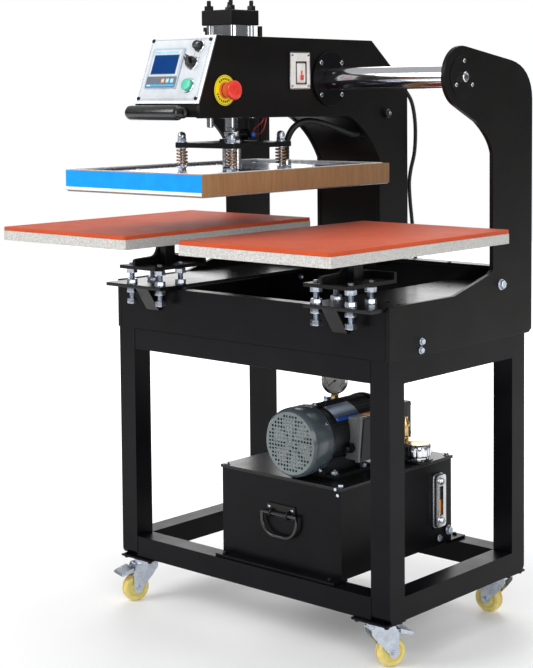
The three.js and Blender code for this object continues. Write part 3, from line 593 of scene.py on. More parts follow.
def finish_nodes():
    for name in (
        "left_leg_frame", "right_leg_frame", "front_lower_rail", "rear_lower_rail", "front_upper_rail",
        "rear_upper_rail", "front_apron", "rear_apron", "oil_tank",
    ):
        coat_node(name, black, 1.0)
    for name in ("left_side_plate", "right_side_plate", "head_left_plate", "head_right_plate", "head_cover"):
        coat_node(name, plate_black, 0.7)
    for name in ("left_tray", "right_tray", "tank_lid"):
        coat_node(name, tray_black, 0.7)
    for name in ("left_platen_bracket", "right_platen_bracket", "hanger_plate", "valve_block"):
        coat_node(name, oxide, 0.6)
    coat_node("guide_shaft", chrome, 0.8)
    coat_node("shaft_bearing", black, 0.8)
    coat_node("pump_motor", motor_dark, 0.8)
    coat_node("pressure_gauge", steel, 0.6)
    coat_node("level_gauge", bright, 0.8)
    for side in ("left", "right"):
        coat_node(f"{side}_platen", aluminium, 1.0)
        coat_node(f"{side}_pad", pad_orange, 1.2)
    for corner, _, c in CORNERS:
        coat_node(f"caster_fork_{corner}", zinc, 0.5)
        if c < 0:
            coat_node(f"brake_pedal_{corner}", zinc, 0.5)
    coat_node("control_panel", bare_aluminium, 0.4)
    coat_node("piston_rod", chrome, 0.5)
    coat_node("heater_plate", film_aluminium, 0.5)
    coat_node("heater_cover", tape, 1.0)


# ---------- leads ----------
HEATER_LEAD = [
    (2, -107, 1042.3), (2, -107, 1060), (2, -106, 1080), (3, -99, 1100), (4, -84, 1117), (5, -62, 1128),
    (6, -36, 1132), (7, -6, 1129), (8, 25, 1123), (9, 55, 1115), (10, 85, 1106), (11, 112, 1099),
    (11, 126, 1097), (11, 137.7, 1097),
]
SUPPLY_HOSE = [
    (2, 298.3, 1212), (6, 312, 1210), (18, 320, 1194), (34, 320, 1168), (44, 318, 1128), (47, 316, 1085),
    (44, 315, 1045), (34, 315, 1008), (29, 315, 975), (31, 315, 935), (36, 315, 890), (42, 315, 840),
    (48, 314, 790), (53, 312, 735), (58, 310, 685), (66, 308, 640), (82, 306, 608), (106, 304, 598),
    (128, 303, 612), (140, 302, 642), (142, 300, 668), (142, 292, 686), (142, 282, 690), (142, 272.3, 690),
]


def corrugated(name, route, radius, node):
    """A corrugated sleeve along a route, from one body to the next."""
    pitch = 3.2
    points, length = smooth_path([spot(*p) for p in route], pitch / 4 * MM)
    b = Build()
    b.tube(points, radius * MM, rubber, 14, ripple=(1.0, 1.0, 0.86, 0.86))
    made = b.piece(name, sharp=60)
    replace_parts(made, node)
    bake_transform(made)


def make_leads():
    corrugated("heater_lead", HEATER_LEAD, 7.5, "heater_conduit")
    corrugated("supply_lead", SUPPLY_HOSE, 5, "supply_hose")
    b = Build()
    b.hexagon(20, 7, at((2, 293, 1212), BACK), rubber)
    b.lathe([(9, 0), (9, 6), (7.4, 14), (5.6, 17), (0, 17), (0, 0)], at((2, 298.6, 1212), BACK), rubber, 20)
    b.piece("head_lead_gland", HEAD)
    b = Build()
    b.hexagon(18, 6, at((142, 268, 690), BACK), rubber)
    b.lathe([(8.6, 0), (8.6, 5), (7, 12), (5.6, 15), (0, 15), (0, 0)], at((142, 271, 690), BACK), rubber, 20)
    b.piece("apron_lead_gland", CART)
    b = Build()
    b.hexagon(22, 7, at((2, -107, 1028.2), UP), bright, 7)
    b.lathe([(7.8, 0), (11, 0), (11, 8), (9, 13), (7.8, 13)], at((2, -107, 1035), UP), bright, 20)
    b.piece("heater_lead_gland", PRESS)


# ---------- cart ----------
def cart_fasteners():
    b = Build()
    for sign in (-1, 1):
        face = sign * 402
        out = (sign, 0, 0)
        b.rod(45, 2.2, at((face - sign * 0.4, SHAFT_Y, SHAFT_Z), out), plate_black, 48, 0.8)
        front = face + sign * 1.8
        b.cap_screw((front, SHAFT_Y, SHAFT_Z), out, 11, 8, bright, dark)
        for angle in (90, 210, 330):
            a = math.radians(angle)
            place = (front, SHAFT_Y + 34 * math.cos(a), SHAFT_Z + 34 * math.sin(a))
            b.cap_screw(place, out, 4.6, 4, bright, dark)
        b.bolt((face, 153, 770), out, 17, zinc)
        for y, z in ((-142, 680), (-145, 662)):
            b.bolt((face, y, z), out, 11, zinc)
    for sign in (-1, 1):
        for x in (148, 212, 276):
            b.bolt((sign * x, 264, 728), FRONT, 10, zinc)
    for sign in (-1, 1):
        for x in (60, 200, 340):
            b.bolt((sign * x, 240, 798), UP, 8, zinc, washer=False)
    for x in (-330, -110, 110, 330):
        b.bolt((x, 272, 700), BACK, 11, zinc)
    b.piece("cart_bolts", CART)


def levelling_studs():
    """Threaded studs and their nuts, between the trays and the platens' brackets."""
    for side, sign in (("left", -1), ("right", 1)):
        b = Build()
        for dx in (-46, 46):
            for y in (-278.5, -213):
                x = sign * PLATEN_X + dx
                b.thread((x, y, 713), UP, 6.4, 97, zinc)
                for z, high in ((714.4, 11.2), (741.4, 10.4), (760.3, 10.4), (786.6, 9.6)):
                    b.hexagon(21.6, high, at((x, y, z), UP, 0.35 + 0.4 * (z % 3)), zinc, 5.5)
                for z in (740.2, 760.2, 785.4):
                    b.lathe([(6, 0), (13, 0), (13, 1.5), (6, 1.5)], at((x, y, z), UP), zinc, 24)
        b.piece(f"{side}_levelling_studs", CART)


def platen_details():
    b = Build()
    for sign in (-1, 1):
        x = sign * PLATEN_X
        for dx in (-27, 27):
            for y in (-8, 80):
                b.bolt((x + dx, y, 865), DOWN, 10, zinc, washer=False)
    b.piece("platen_bolts", CART)


def weld_beads():
    """Short fillets of weld where the frame's tubes meet."""
    b = Build()
    for sign in (-1, 1):
        for y0 in (-250, 200):
            for z0 in (105.8, 600.8):
                x = sign * 349.6
                for y in (y0, y0 + 50):
                    b.tube([spot(x, y, z0 + 2 + i) for i in range(0, 46, 2)], 1.7 * MM, black, 8, (1.0, 0.86))
                b.tube([spot(x, y0 + i, z0 + 49) for i in range(2, 50, 2)], 1.7 * MM, black, 8, (1.0, 0.86))
    b.piece("weld_beads", CART)


# ---------- casters ----------
CASTERS = (
    ("front_left", -350, -225, -18), ("front_right", 350, -225, 155),
    ("rear_left", -350, 225, 60), ("rear_right", 350, 225, -86),
)


def casters():
    plate_bolts = Build()
    for corner, x, y, angle in CASTERS:
        turn = math.radians(angle)
        axle = Vector((math.cos(turn), math.sin(turn), 0))
        trail = Vector((math.sin(turn), -math.cos(turn), 0)) * 27
        hub = Vector((x, y, 32)) + trail
        centre = at(tuple(hub), tuple(axle))
        b = Build()
        b.lathe([
            (25, -13), (28.5, -12), (31, -8.5), (32, -3), (32, 3), (31, 8.5), (28.5, 12), (25, 13),
            (21, 12.4), (21, -12.4),
        ], centre, tread, 56)
        b.lathe([(31.7, -1.9), (32.15, -1.5), (32.15, 1.5), (31.7, 1.9)], centre, amber, 56)
        b.lathe([
            (4.6, -13.5), (10, -13.5), (10.8, -11), (13, -9.5), (19, -9.5), (21.3, -11.5), (21.3, 11.5),
            (19, 9.5), (13, 9.5), (10.8, 11), (10, 13.5), (4.6, 13.5),
        ], centre, tread, 56)
        b.lathe([(4.6, -15), (8.4, -15), (9.2, -13.2), (9.2, 13.2), (8.4, 15), (4.6, 15)], centre, zinc, 32)
        made = b.piece(f"wheel_{corner}", f"wheel_{corner}")
        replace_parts(made, f"caster_wheel_{corner}")
        b = Build()
        side = 19
        b.bolt(tuple(hub + axle * side), tuple(axle), 10, zinc)
        b.bolt(tuple(hub - axle * side), tuple(-axle), 10, zinc)
        b.lathe([(20, 0), (25, 0.8), (26.6, 3), (26.6, 5), (25, 7), (21, 7.4), (14, 7.4), (14, 0)],
                at((x, y, 92.6), UP), zinc, 40)
        b.lathe([(0, 0), (6.5, 0), (7.5, 1.2), (7.5, 3), (0, 3)], at((x, y, 83.4), UP), zinc, 24)
        b.piece(f"caster_trim_{corner}", f"swivel_{corner}")
        if y < 0:
            b = Build()
            away = trail.normalized()
            for share in (-0.55, 0, 0.55):
                foot = Vector((x, y, 80.5)) + away * 50 + axle * share * 30
                tip = Vector((x, y, 75.2)) + away * 66 + axle * share * 30
                b.tube([spot(*foot), spot(*tip)], 1.1 * MM, zinc, 8)
            b.piece(f"pedal_ribs_{corner}", f"pedal_{corner}")
        for a in (-1, 1):
            for c in (-1, 1):
                plate_bolts.bolt((x + a * 39, y + c * 23, 101.2), DOWN, 9, oxide)
    plate_bolts.piece("caster_plate_bolts", CART)


# ---------- power pack ----------
MOTOR_X, MOTOR_Z = 115, 440


def fan_grille():
    """A pressed disc pierced by rows of round holes, filled from flat curves."""
    data = bpy.data.curves.new("fan_grille", "CURVE")
    data.dimensions = "2D"
    data.fill_mode = "BOTH"
    data.extrude = 0.5
    data.bevel_depth = 0.18
    data.bevel_resolution = 1

    def ring(cx, cy, radius, steps):
        spline = data.splines.new("POLY")
        spline.points.add(steps - 1)
        for i, p in enumerate(spline.points):
            angle = 2 * math.pi * i / steps
            p.co = (cx + radius * math.cos(angle), cy + radius * math.sin(angle), 0, 1)
        spline.use_cyclic_u = True

    ring(0, 0, 68, 72)
    pitch = 8.3
    for i in range(-8, 9):
        for j in range(-8, 9):
            distance = math.hypot(i * pitch, j * pitch)
            if 11 < distance < 63:
                ring(i * pitch, j * pitch, 3.0, 10)
    shape = bpy.data.objects.new("fan_grille_curve", data)
    collection.objects.link(shape)
    bpy.context.view_layer.update()
    graph = bpy.context.evaluated_depsgraph_get()
    mesh = bpy.data.meshes.new_from_object(shape.evaluated_get(graph))
    bpy.data.objects.remove(shape)
    mesh.transform(at((MOTOR_X, -230.4, MOTOR_Z), FRONT))
    mesh.materials.clear()
    mesh.materials.append(motor_light)
    made = bpy.data.objects.new("fan_grille", mesh)
    collection.objects.link(made)
    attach(made, CART)
    return made


def motor():
    b = Build()
    front = at((MOTOR_X, -230, MOTOR_Z), BACK)
    b.lathe([
        (64, 0), (67, -1), (69, -1), (70.5, 1), (73.5, 4.5), (75.4, 10), (76, 16), (76, 56), (75, 58),
        (72, 58), (72, 16), (70, 9), (66, 4), (64, 3.4),
    ], front, motor_grey, 72)
    b.lathe([(0, 26), (58, 26), (60, 30), (60, 34), (0, 34)], front, motor_dark, 32)
    for i in range(6):
        tip = [(math.radians(-21 + 7 * k), 54) for k in range(7)]
        root = [(math.radians(15 - 5 * k), 13) for k in range(7)]
        outline = [(r * math.cos(a), r * math.sin(a)) for a, r in tip + root]
        b.prism(outline, 5.4, 7.2, front @ Matrix.Rotation(2 * math.pi * i / 6 + 0.3, 4, "Z"), white)
    b.lathe([(0, -4.4), (3, -4.4), (7, -2.6), (9, 0), (9, 1), (0, 1)], front, motor_light, 24)
    b.lathe([(0, 5), (13, 5), (15, 8), (15, 26), (0, 26)], front, motor_dark, 24)
    for angle in (35, 125, 215, 305):
        a = math.radians(angle)
        out = (math.cos(a), 0, math.sin(a))
        place = (MOTOR_X + 75.6 * out[0], -182, MOTOR_Z + 75.6 * out[2])
        b.cap_screw(place, out, 4, 3.4, zinc, dark)
    made = b.piece("fan_cowl", CART)
    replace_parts(made, "fan_cover")
    fan_grille()

    b = Build()
    for i in range(44):
        angle = 2 * math.pi * i / 44
        degrees = math.degrees(angle) % 360
        if 342 < degrees or degrees < 22 or 218 < degrees < 322:
            continue
        rib = at((MOTOR_X, -168, MOTOR_Z), BACK) @ Matrix.Rotation(math.pi - angle, 4, "Z")
        high = 67.5 if 22 < degrees < 74 else 71.5
        b.block((64, -1.1, 0), (high, 1.1, 190), motor_dark, rib, 0.5)
    for y, r in ((-171, 71), (20, 72)):
        b.lathe([(60, 0), (r, 0), (r + 1.4, 2), (r + 1.4, 9), (r, 11), (60, 11)],
                at((MOTOR_X, y, MOTOR_Z), BACK), motor_dark, 56)
    b.piece("motor_fins", CART)

    b = Build()
    label = at((MOTOR_X, -140, MOTOR_Z), BACK)
    strips = ((35, 43, label_blue), (43, 76, plate_silver))
    for low, high, material in strips:
        verts, faces = [], []
        steps = 8
        for i in range(steps + 1):
            a = math.radians(low + (high - low) * i / steps)
            for r, y in ((69.2, 0), (70.2, 0), (70.2, 82), (69.2, 82)):
                verts.append((-r * math.cos(a), r * math.sin(a), y))
        for i in range(steps):
            for k in range(4):
                m = (k + 1) % 4
                faces.append((i * 4 + k, i * 4 + m, i * 4 + 4 + m, i * 4 + 4 + k))
        faces += [(0, 1, 2, 3), tuple(steps * 4 + k for k in (3, 2, 1, 0))]
        b.put(verts, faces, label, material)
    for y in (-136, -62):
        for angle in (39, 73):
            a = math.radians(angle)
            out = (math.cos(a), 0, math.sin(a))
            b.dome_screw((MOTOR_X + 70 * out[0], y, MOTOR_Z + 70 * out[2]), out, 2.2, zinc, dark)
    b.piece("motor_plate", CART)

    b = Build()
    x0 = MOTOR_X + 50
    b.prism([(-112, 393), (4, 393), (10, 485), (-100, 485)], x0 + 4, x0 + 34, side_on(0), box_grey)
    b.prism([(-115, 390), (7, 390), (13, 488), (-102, 488)], x0 + 34, x0 + 46, side_on(0), box_grey)
    lid = b.piece("terminal_box", CART)
    ease = lid.modifiers.new("ease", "BEVEL")
    ease.width = 3.2 * MM
    ease.segments = 3
    ease.limit_method = "ANGLE"
    ease.harden_normals = True
    b = Build()
    for y, z in ((-107, 398), (-95, 480), (1, 398), (6, 480)):
        b.dome_screw((x0 + 45.6, y, z), RIGHT, 3, zinc, dark)
    b.hexagon(20, 10, at((x0 + 22, -110, 420), FRONT), oxide)
    b.rod(6.5, 10, at((x0 + 22, -119, 420), FRONT), rubber, 20, 2)
    b.block((x0 + 10, -64, 484.7), (x0 + 30, -30, 485.5), orange, None, 0.3)
    for sx in (-62.5, 62.5):
        for y in (-157, -57):
            b.bolt((MOTOR_X + sx, y, 368.6), UP, 13, zinc)
            b.thread((MOTOR_X + sx, y, 372), UP, 4, 8, zinc)
    b.lathe([(0, 0), (7, 0), (7, 3), (4.4, 4), (4.4, 7), (0, 7)],
            at((MOTOR_X, -150, MOTOR_Z + 69), UP), zinc, 20)
    for i in range(4):
        a = math.radians(45 + 90 * i)
        out = (MOTOR_X + 60 * math.cos(a), 31, MOTOR_Z + 60 * math.sin(a))
        b.bolt(out, BACK, 8, zinc)
    b.piece("motor_bolts", CART)

    b = Build()
    b.lathe([(0, 0), (66, 0), (68, 2), (68, 9), (57, 12), (54, 14), (54, 50), (50, 53), (0, 53)],
            at((MOTOR_X, 26.5, MOTOR_Z), BACK), motor_grey, 48)
    b.block((MOTOR_X - 41, 79, MOTOR_Z - 46), (MOTOR_X + 41, 100, MOTOR_Z + 41), motor_dark, None, 3)
    b.block((MOTOR_X - 40.5, 101, MOTOR_Z - 45.5), (MOTOR_X + 40.5, 128, MOTOR_Z + 40.5), pump_grey, None, 4)
    b.block((MOTOR_X - 40.5, 129, MOTOR_Z - 45.5), (MOTOR_X + 40.5, 150.6, MOTOR_Z + 40.5),
            motor_dark, None, 3)
    for sx in (-31, 31):
        for sz in (-36, 31):
            b.cap_screw((MOTOR_X + sx, 150.4, MOTOR_Z + sz), BACK, 6, 6, oxide, dark)
    b.piece("gear_pump", CART)


def hydraulics():
    """Pipes, fittings and the valve's coils on the tank's lid."""
    b = Build()
    b.lathe([(0, 0), (19, 0), (20, 2), (20, 44), (18, 47), (8, 47), (8, 52), (0, 52)],
            at((-92, 43, 398), LEFT), oxide, 32)
    b.block((-92, 24, 420), (-56, 62, 450), plastic, None, 2)
    b.hexagon(16, 9, at((-74, 43, 450), UP), plastic)
    for x, y in ((-38, 8), (26, 8), (-38, 78), (26, 78)):
        b.cap_screw((x, y, 426.6), UP, 4.5, 5, bright, dark)
    for x, y, z, axis in ((34, 43, 400, RIGHT), (0, 86, 400, BACK), (0, 36, 470, UP)):
        out = Vector(axis)
        b.hexagon(22, 9, at((x, y, z), axis), zinc)
        tip = Vector((x, y, z)) + out * 8
        b.hexagon(19, 11, at(tuple(tip), axis), zinc)
    pipe = [(0, 101, 400), (0, 126, 400), (8, 140, 404), (30, 146, 420), (58, 146, 442), (74, 140, 447)]
    points, _ = smooth_path([spot(*p) for p in pipe], 5 * MM)
    b.tube(points, 5 * MM, steel, 14)
    b.hexagon(19, 12, at((75, 139, 447), LEFT), zinc)
    b.hexagon(19, 10, at((0, 104, 400), BACK), zinc)
    b.hexagon(24, 10, at((176, 100, 360.3), UP), brass)
    b.lathe([(0, 0), (9, 0), (9, 12), (7, 14), (7, 34), (10, 36), (10, 44), (6, 50), (6, 58), (0, 58)],
            at((176, 100, 396), UP), brass, 20)
    b.rod(8, 30, at((176, 100, 369), UP), zinc, 16, 1)
    b.piece("hydraulic_fittings", CART)


def tank_details():
    b = Build()
    for x in (-92, 238):
        for y in (-210, -18, 174):
            b.bolt((x, y, 360.3), UP, 10, zinc)
    for x in (-80, 226):
        b.bolt((x, -234, 162), UP, 8, oxide)
        b.bolt((x, 224, 162), UP, 8, oxide)
    b.bolt((250, 165, 190), RIGHT, 15, zinc)
    b.bolt((250, 130, 178), RIGHT, 11, zinc)
    b.bolt((234, -221, 357), FRONT, 7, zinc, washer=False)
    b.bolt((238, -218, 344), FRONT, 7, zinc, washer=False)
    b.piece("tank_bolts", CART)

    b = Build()
    b.prism(rounded(-104, 250, -222, 186, 4, 3), 354.0, 355.2, CART_FRAME, rubber)
    b.piece("lid_gasket", CART)

    b = Build()
    x = 246.3
    for z in (221, 311):
        b.rod(8.2, 3, at((x + 11.6, 127, z), RIGHT), bright, 28, 1)
        b.hexagon(12, 5, at((x + 14, 127, z), RIGHT), bright)
    b.block((x + 5.8, 120.6, 233), (x + 6.6, 133.4, 299), dark, None, 0.2)
    b.block((x + 6.4, 123.5, 235), (x + 9.5, 130.5, 268), amber, None, 1.5)
    b.block((x + 6.4, 123.5, 268.5), (x + 9.2, 130.5, 297), plastic, None, 1.5)
    b.prism(rounded(107, 147, 204, 328, 9), 0, 3, side_on(x), steel)
    b.piece("level_gauge_trim", CART)

    b = Build()
    place = at((222, 85, 360.6), UP)
    b.lathe([(0, 0), (35, 0), (35, 4.5), (33, 6), (0, 6)], place, oxide, 48)
    steps = 96
    levels = (
        (26, 6), (26, 11), (29, 13), (31.4, 15), (31.6, 17), (31.6, 33), (30.4, 37), (28.2, 40), (27, 40.6),
    )
    verts, faces = [], []
    for radius, height in levels:
        for i in range(steps):
            angle = 2 * math.pi * i / steps
            wave = 1 - (0.055 * max(0, math.cos(angle * 12)) ** 2 if 14 < height < 36 else 0)
            verts.append((radius * wave * math.cos(angle), radius * wave * math.sin(angle), height))
    for k in range(len(levels) - 1):
        for i in range(steps):
            j = (i + 1) % steps
            faces.append((k * steps + i, k * steps + j, (k + 1) * steps + j, (k + 1) * steps + i))
    faces.append(tuple(range(steps - 1, -1, -1)))
    last = (len(levels) - 1) * steps
    faces.append(tuple(range(last, last + steps)))
    b.put(verts, faces, place, chrome)
    b.lathe([(0, 40.4), (25.5, 40.4), (26, 40.9), (24.6, 41.1), (0, 41.1)], place, brass, 48)
    for i in range(6):
        a = 2 * math.pi * (i + 0.5) / 6
        b.dome_screw((222 + 32 * math.cos(a), 85 + 32 * math.sin(a), 366.4), UP, 2.2, zinc, dark)
    made = b.piece("breather", "breather_cap")
    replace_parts(made, "filler_cap")


def tank_handle():
    b = Build()
    middle, y, pivot = 78, -227.5, 277
    half, drop, bend = 50, 50, 36
    ring = [(middle - half, y, pivot)]
    for i in range(13):
        a = math.pi + math.pi / 2 * i / 12
        ring.append((middle - half + bend + bend * math.cos(a), y, pivot - drop + bend + bend * math.sin(a)))
    for i in range(13):
        a = 1.5 * math.pi + math.pi / 2 * i / 12
        ring.append((middle + half - bend + bend * math.cos(a), y, pivot - drop + bend + bend * math.sin(a)))
    ring += [(middle + half, y, pivot), (middle - half, y, pivot), (middle - half, y, pivot - 8)]
    b.tube([spot(*p) for p in ring], 4 * MM, grip, 16)
    made = b.piece("drop_handle", "tank_drop_handle")
    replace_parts(made, "tank_handle")
    b = Build()
    for dx in (-24, 24):
        arc = [spot(middle + dx, -220.5 - 11.5 * math.sin(a), pivot - 8 * math.cos(a))
               for a in [math.pi * i / 10 for i in range(11)]]
        b.tube(arc, 2.4 * MM, oxide, 8)
    b.block((37, -221.8, 267), (119, -219.5, 297), oxide, None, 0.8)
    for dx in (-33.25, 33.25):
        b.dome_screw((middle + dx, -221.6, 289), FRONT, 3.6, bright, dark)
    b.piece("handle_saddle", CART)


def pressure_gauge():
    turn = math.radians(41)
    out = (math.sin(turn), -math.cos(turn), 0)
    centre = Vector((21.5, 34, 530))
    face = at(tuple(centre + Vector(out) * 13), out)
    b = Build()
    b.lathe([
        (24.5, -0.4), (30, -1), (31, 0.4), (31, 3), (29.5, 4.6), (27, 4.6), (25, 3), (24.5, 1),
    ], face, bright, 56)
    b.lathe([(0, -0.2), (26, -0.2), (26, 0.6), (0, 0.6)], face, white_dial, 48)
    needle_turn = math.radians(128)
    local_up = face.to_3x3().inverted() @ Vector((0, 0, 1))
    zero = math.atan2(local_up.y, local_up.x)
    for i in range(41):
        a = zero + math.radians(135 - 270 * i / 40)
        start, half = (19, 0.45) if i % 4 == 0 else (20.6, 0.2)
        tick = face @ Matrix.Rotation(a, 4, "Z")
        b.block((start, -half, 0.6), (23, half, 0.8), dark, tick, 0.05)
    for low, high, colour in ((135, 85, green), (-85, -135, red)):
        for i in range(10):
            a = zero + math.radians(low + (high - low) * i / 10)
            b.block((16.5, -1.2, 0.6), (18, 1.2, 0.75), colour, face @ Matrix.Rotation(a, 4, "Z"), 0.05)
    b.block((-6, -0.8, 1.2), (18, 0.8, 1.7), dark, face @ Matrix.Rotation(zero + needle_turn, 4, "Z"), 0.2)
    b.lathe([(0, 0.6), (2.6, 0.6), (2.6, 2.2), (0, 2.4)], face, dark, 20)
    b.hexagon(16, 9, at((22, 36, 488), UP), brass)
    b.hexagon(20, 8, at((22, 36, 471), UP), brass)
    b.piece("gauge_dial", CART)


# ---------- head ----------
PANEL_TILT = 0.3709
panel_turn = Matrix.Rotation(-PANEL_TILT, 4, "X")
panel_place = Matrix.Translation(spot(HEAD_X, -417.4, 1175)) @ panel_turn @ Matrix.Scale(MM, 4)
# On the panel's own axes X is right, Y into the head and Z up the slope.
FACE = -3.3


def panel_slab(b, x0, x1, z0, z1, low, high, material, corner=0.4, round_off=0.0):
    """A raised area on the panel, from low to high above its face."""
    if round_off:
        lay = panel_place @ Matrix(((1, 0, 0, 0), (0, 0, -1, FACE), (0, 1, 0, 0), (0, 0, 0, 1)))
        b.prism(rounded(x0, x1, z0, z1, round_off), low, high, lay, material)
    else:
        b.block((x0, FACE - high, z0), (x1, FACE - low, z1), material, panel_place, corner)


def panel_axis(x, z, lift=0.0):
    """Where a round control sits on the panel, its local Z pointing out."""
    return panel_place @ Matrix(((1, 0, 0, x), (0, 0, -1, FACE - lift), (0, 1, 0, z), (0, 0, 0, 1)))


START, SELECTOR, TIMER = (54, 40), (49, 91), (58, 128)


def control_panel():
    b = Build()
    panel_slab(b, -92, 92, 5, 149.5, -0.2, 0.5, overlay, round_off=4)
    for z in (9.5, 144.6):
        for i in range(29):
            x = -87 + 6 * i
            panel_slab(b, x, x + 4, z, z + 0.8, 0.4, 0.62, dark, 0.05)
    for x in (-87.5, 86.7):
        for i in range(22):
            z = 12 + 6 * i
            panel_slab(b, x, x + 0.8, z, z + 4, 0.4, 0.62, dark, 0.05)
    for x in (-86, 86):
        for z in (11, 143.5):
            b.lathe([(0, 0.3), (5.2, 0.3), (5.2, 1), (0, 1)], panel_axis(x, z), bright, 20)
            b.lathe([(1.8, 0.8), (4, 0.8), (4, 2.4), (3.4, 2.9), (2, 2.9), (1.8, 1.6)],
                    panel_axis(x, z), oxide, 20)
    b.piece("panel_overlay", HEAD)

    b = Build()
    panel_slab(b, -75.7, 19.4, 33, 125, 0.2, 3, bezel_grey, round_off=3)
    panel_slab(b, -70, 14, 62, 121, 2.6, 3.4, overlay, round_off=2)
    panel_slab(b, -68, 12, 112.5, 117.5, 3.3, 3.6, pale_blue, 0.1)
    panel_slab(b, 4, 10, 113.4, 116.6, 3.5, 3.75, white, 0.1)
    panel_slab(b, -66.5, 8.5, 65, 110, 3.2, 3.8, strip_grey, 0.2)
    panel_slab(b, -65, 7, 66.5, 108.5, 3.6, 4.1, screen, 0.3)
    panel_slab(b, -73, 16.5, 35, 60, 2.6, 3.6, strip_grey, round_off=2)
    panel_slab(b, -70, 14, 37.6, 42, 3.5, 3.9, cyan, 0.15)
    panel_slab(b, -68, -58, 38.8, 40.8, 3.8, 4.05, white, 0.1)
    for x, colour in ((-22, orange), (-8, pale_blue), (5, pale_blue)):
        panel_slab(b, x - 4.6, x + 4.6, 45.6, 55, 3.5, 4.6, colour, round_off=2)
    for x in (-8, 5):
        mark = panel_axis(x, 50.3, 4.5) @ Matrix.Rotation(math.radians(45), 4, "Z")
        b.block((-2.4, -0.5, 0), (2.4, 0.5, 0.3), white, mark, 0.1)
        b.block((-0.5, -2.4, 0), (0.5, 2.4, 0.3), white, mark, 0.1)
    b.lathe([(1.4, 4.5), (2.6, 4.5), (2.6, 4.9), (1.4, 4.9)], panel_axis(-22, 50.3), white, 20)
    b.piece("display", HEAD)

    b = Build()
    for (x, z), r in ((START, 16.8), (SELECTOR, 16), (TIMER, 13.8)):
        b.lathe([(r - 3.4, 0.2), (r, 0.2), (r, 1.4), (r - 1.2, 3), (r - 3.4, 3)],
                panel_axis(x, z), bright, 40)
    for angle in (35, 90, 145):
        a = math.radians(angle)
        tick = panel_axis(*SELECTOR) @ Matrix.Rotation(a, 4, "Z")
        b.block((17.5, -0.5, 0.4), (21.5, 0.5, 0.62), dark, tick, 0.05)
    for i in range(11):
        tick = panel_axis(*TIMER) @ Matrix.Rotation(math.radians(-60 + 30 * i), 4, "Z")
        b.block((14.4, -0.3, 0.4), (16.4, 0.3, 0.62), dark, tick, 0.05)
    b.piece("control_bezels", HEAD)

    b = Build()
    b.lathe([(0, -3), (9.6, -3), (9.6, 3.4), (13, 4), (13.4, 8.4), (12.4, 9.8), (8, 10.4), (0, 10.5)],
            panel_axis(*START), green, 40)
    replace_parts(b.piece("start_cap", "start"), "start_button")

    b = Build()
    turned = panel_axis(*SELECTOR) @ Matrix.Rotation(math.radians(35), 4, "Z")
    b.lathe([(0, -3), (5.8, -3), (5.8, 3), (12.6, 3), (13, 4), (13, 9), (12, 11), (0, 11)],
            turned, plastic, 40)
    b.prism([
        (-4.4, -12), (-2, -14.4), (2, -14.4), (4.4, -12), (4.8, 11), (2.4, 14.4), (-2.4, 14.4), (-4.8, 11),
    ], 10.5, 20.4, turned, plastic)
    b.block((-0.6, 6, 20.2), (0.6, 14, 20.7), white, turned, 0.1)
    knob = b.piece("selector_lever", "selector")
    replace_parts(knob, "selector_knob")

    b = Build()
    place = panel_axis(*TIMER)
    b.lathe([(0, -3), (4.8, -3), (4.8, 0.8), (11.6, 0.8), (12, 1.6), (12, 4.4), (10.6, 5), (0, 5)],
            place, plastic, 40)
    b.lathe([(0, 4.6), (9.2, 4.6), (9.2, 14), (8.4, 15.4), (0, 15.6)], place, plastic, 40)
    for i in range(20):
        rib = place @ Matrix.Rotation(2 * math.pi * i / 20, 4, "Z")
        b.block((8.8, -0.55, 5), (9.9, 0.55, 14.2), plastic, rib, 0.25)
    b.block((-0.5, 3, 15.4), (0.5, 9, 15.9), white, place @ Matrix.Rotation(math.radians(-70), 4, "Z"), 0.1)
    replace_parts(b.piece("timer_dial", "timer"), "timer_knob")


def emergency_stop():
    face = HEAD_X + HEAD_HALF
    place = at((face, -342, 1203), RIGHT)
    b = Build()
    b.lathe([(14.4, 1.6), (32.2, 1.6), (32.4, 2), (32.4, 2.5), (31.9, 2.8), (14.4, 2.8)], place, yellow, 64)
    for r in (30.2, 17.5):
        b.lathe([(r - 0.25, 2.7), (r + 0.25, 2.7), (r + 0.25, 2.92), (r - 0.25, 2.92)], place, dark, 64)
    for turn in (20, 200):
        for i in range(9):
            mark = place @ Matrix.Rotation(math.radians(turn + 14 * i), 4, "Z")
            b.block((22, -1.6, 2.7), (26.4, 1.6, 2.95), dark, mark, 0.05)
    b.lathe([(15.6, 1), (17.6, 1), (17.6, 5), (16.8, 7), (15.6, 7)], place, collar_red, 40)
    b.piece("stop_plate", HEAD)
    b = Build()
    b.lathe([
        (0, -6), (8.4, -6), (8.4, 23), (15, 24), (20.2, 25.4), (20.8, 27.4),
        (20.8, 30.6), (19.6, 33), (16.4, 34.6), (9, 35.3), (0, 35.5),
    ], place, red, 64)
    b.lathe([(14.5, 8.6), (15.3, 8.6), (15.3, 20), (16.6, 24.6), (14.5, 24.6)], place, collar_red, 48)
    made = b.piece("stop_mushroom", "emergency_stop")
    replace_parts(made, "emergency_button")


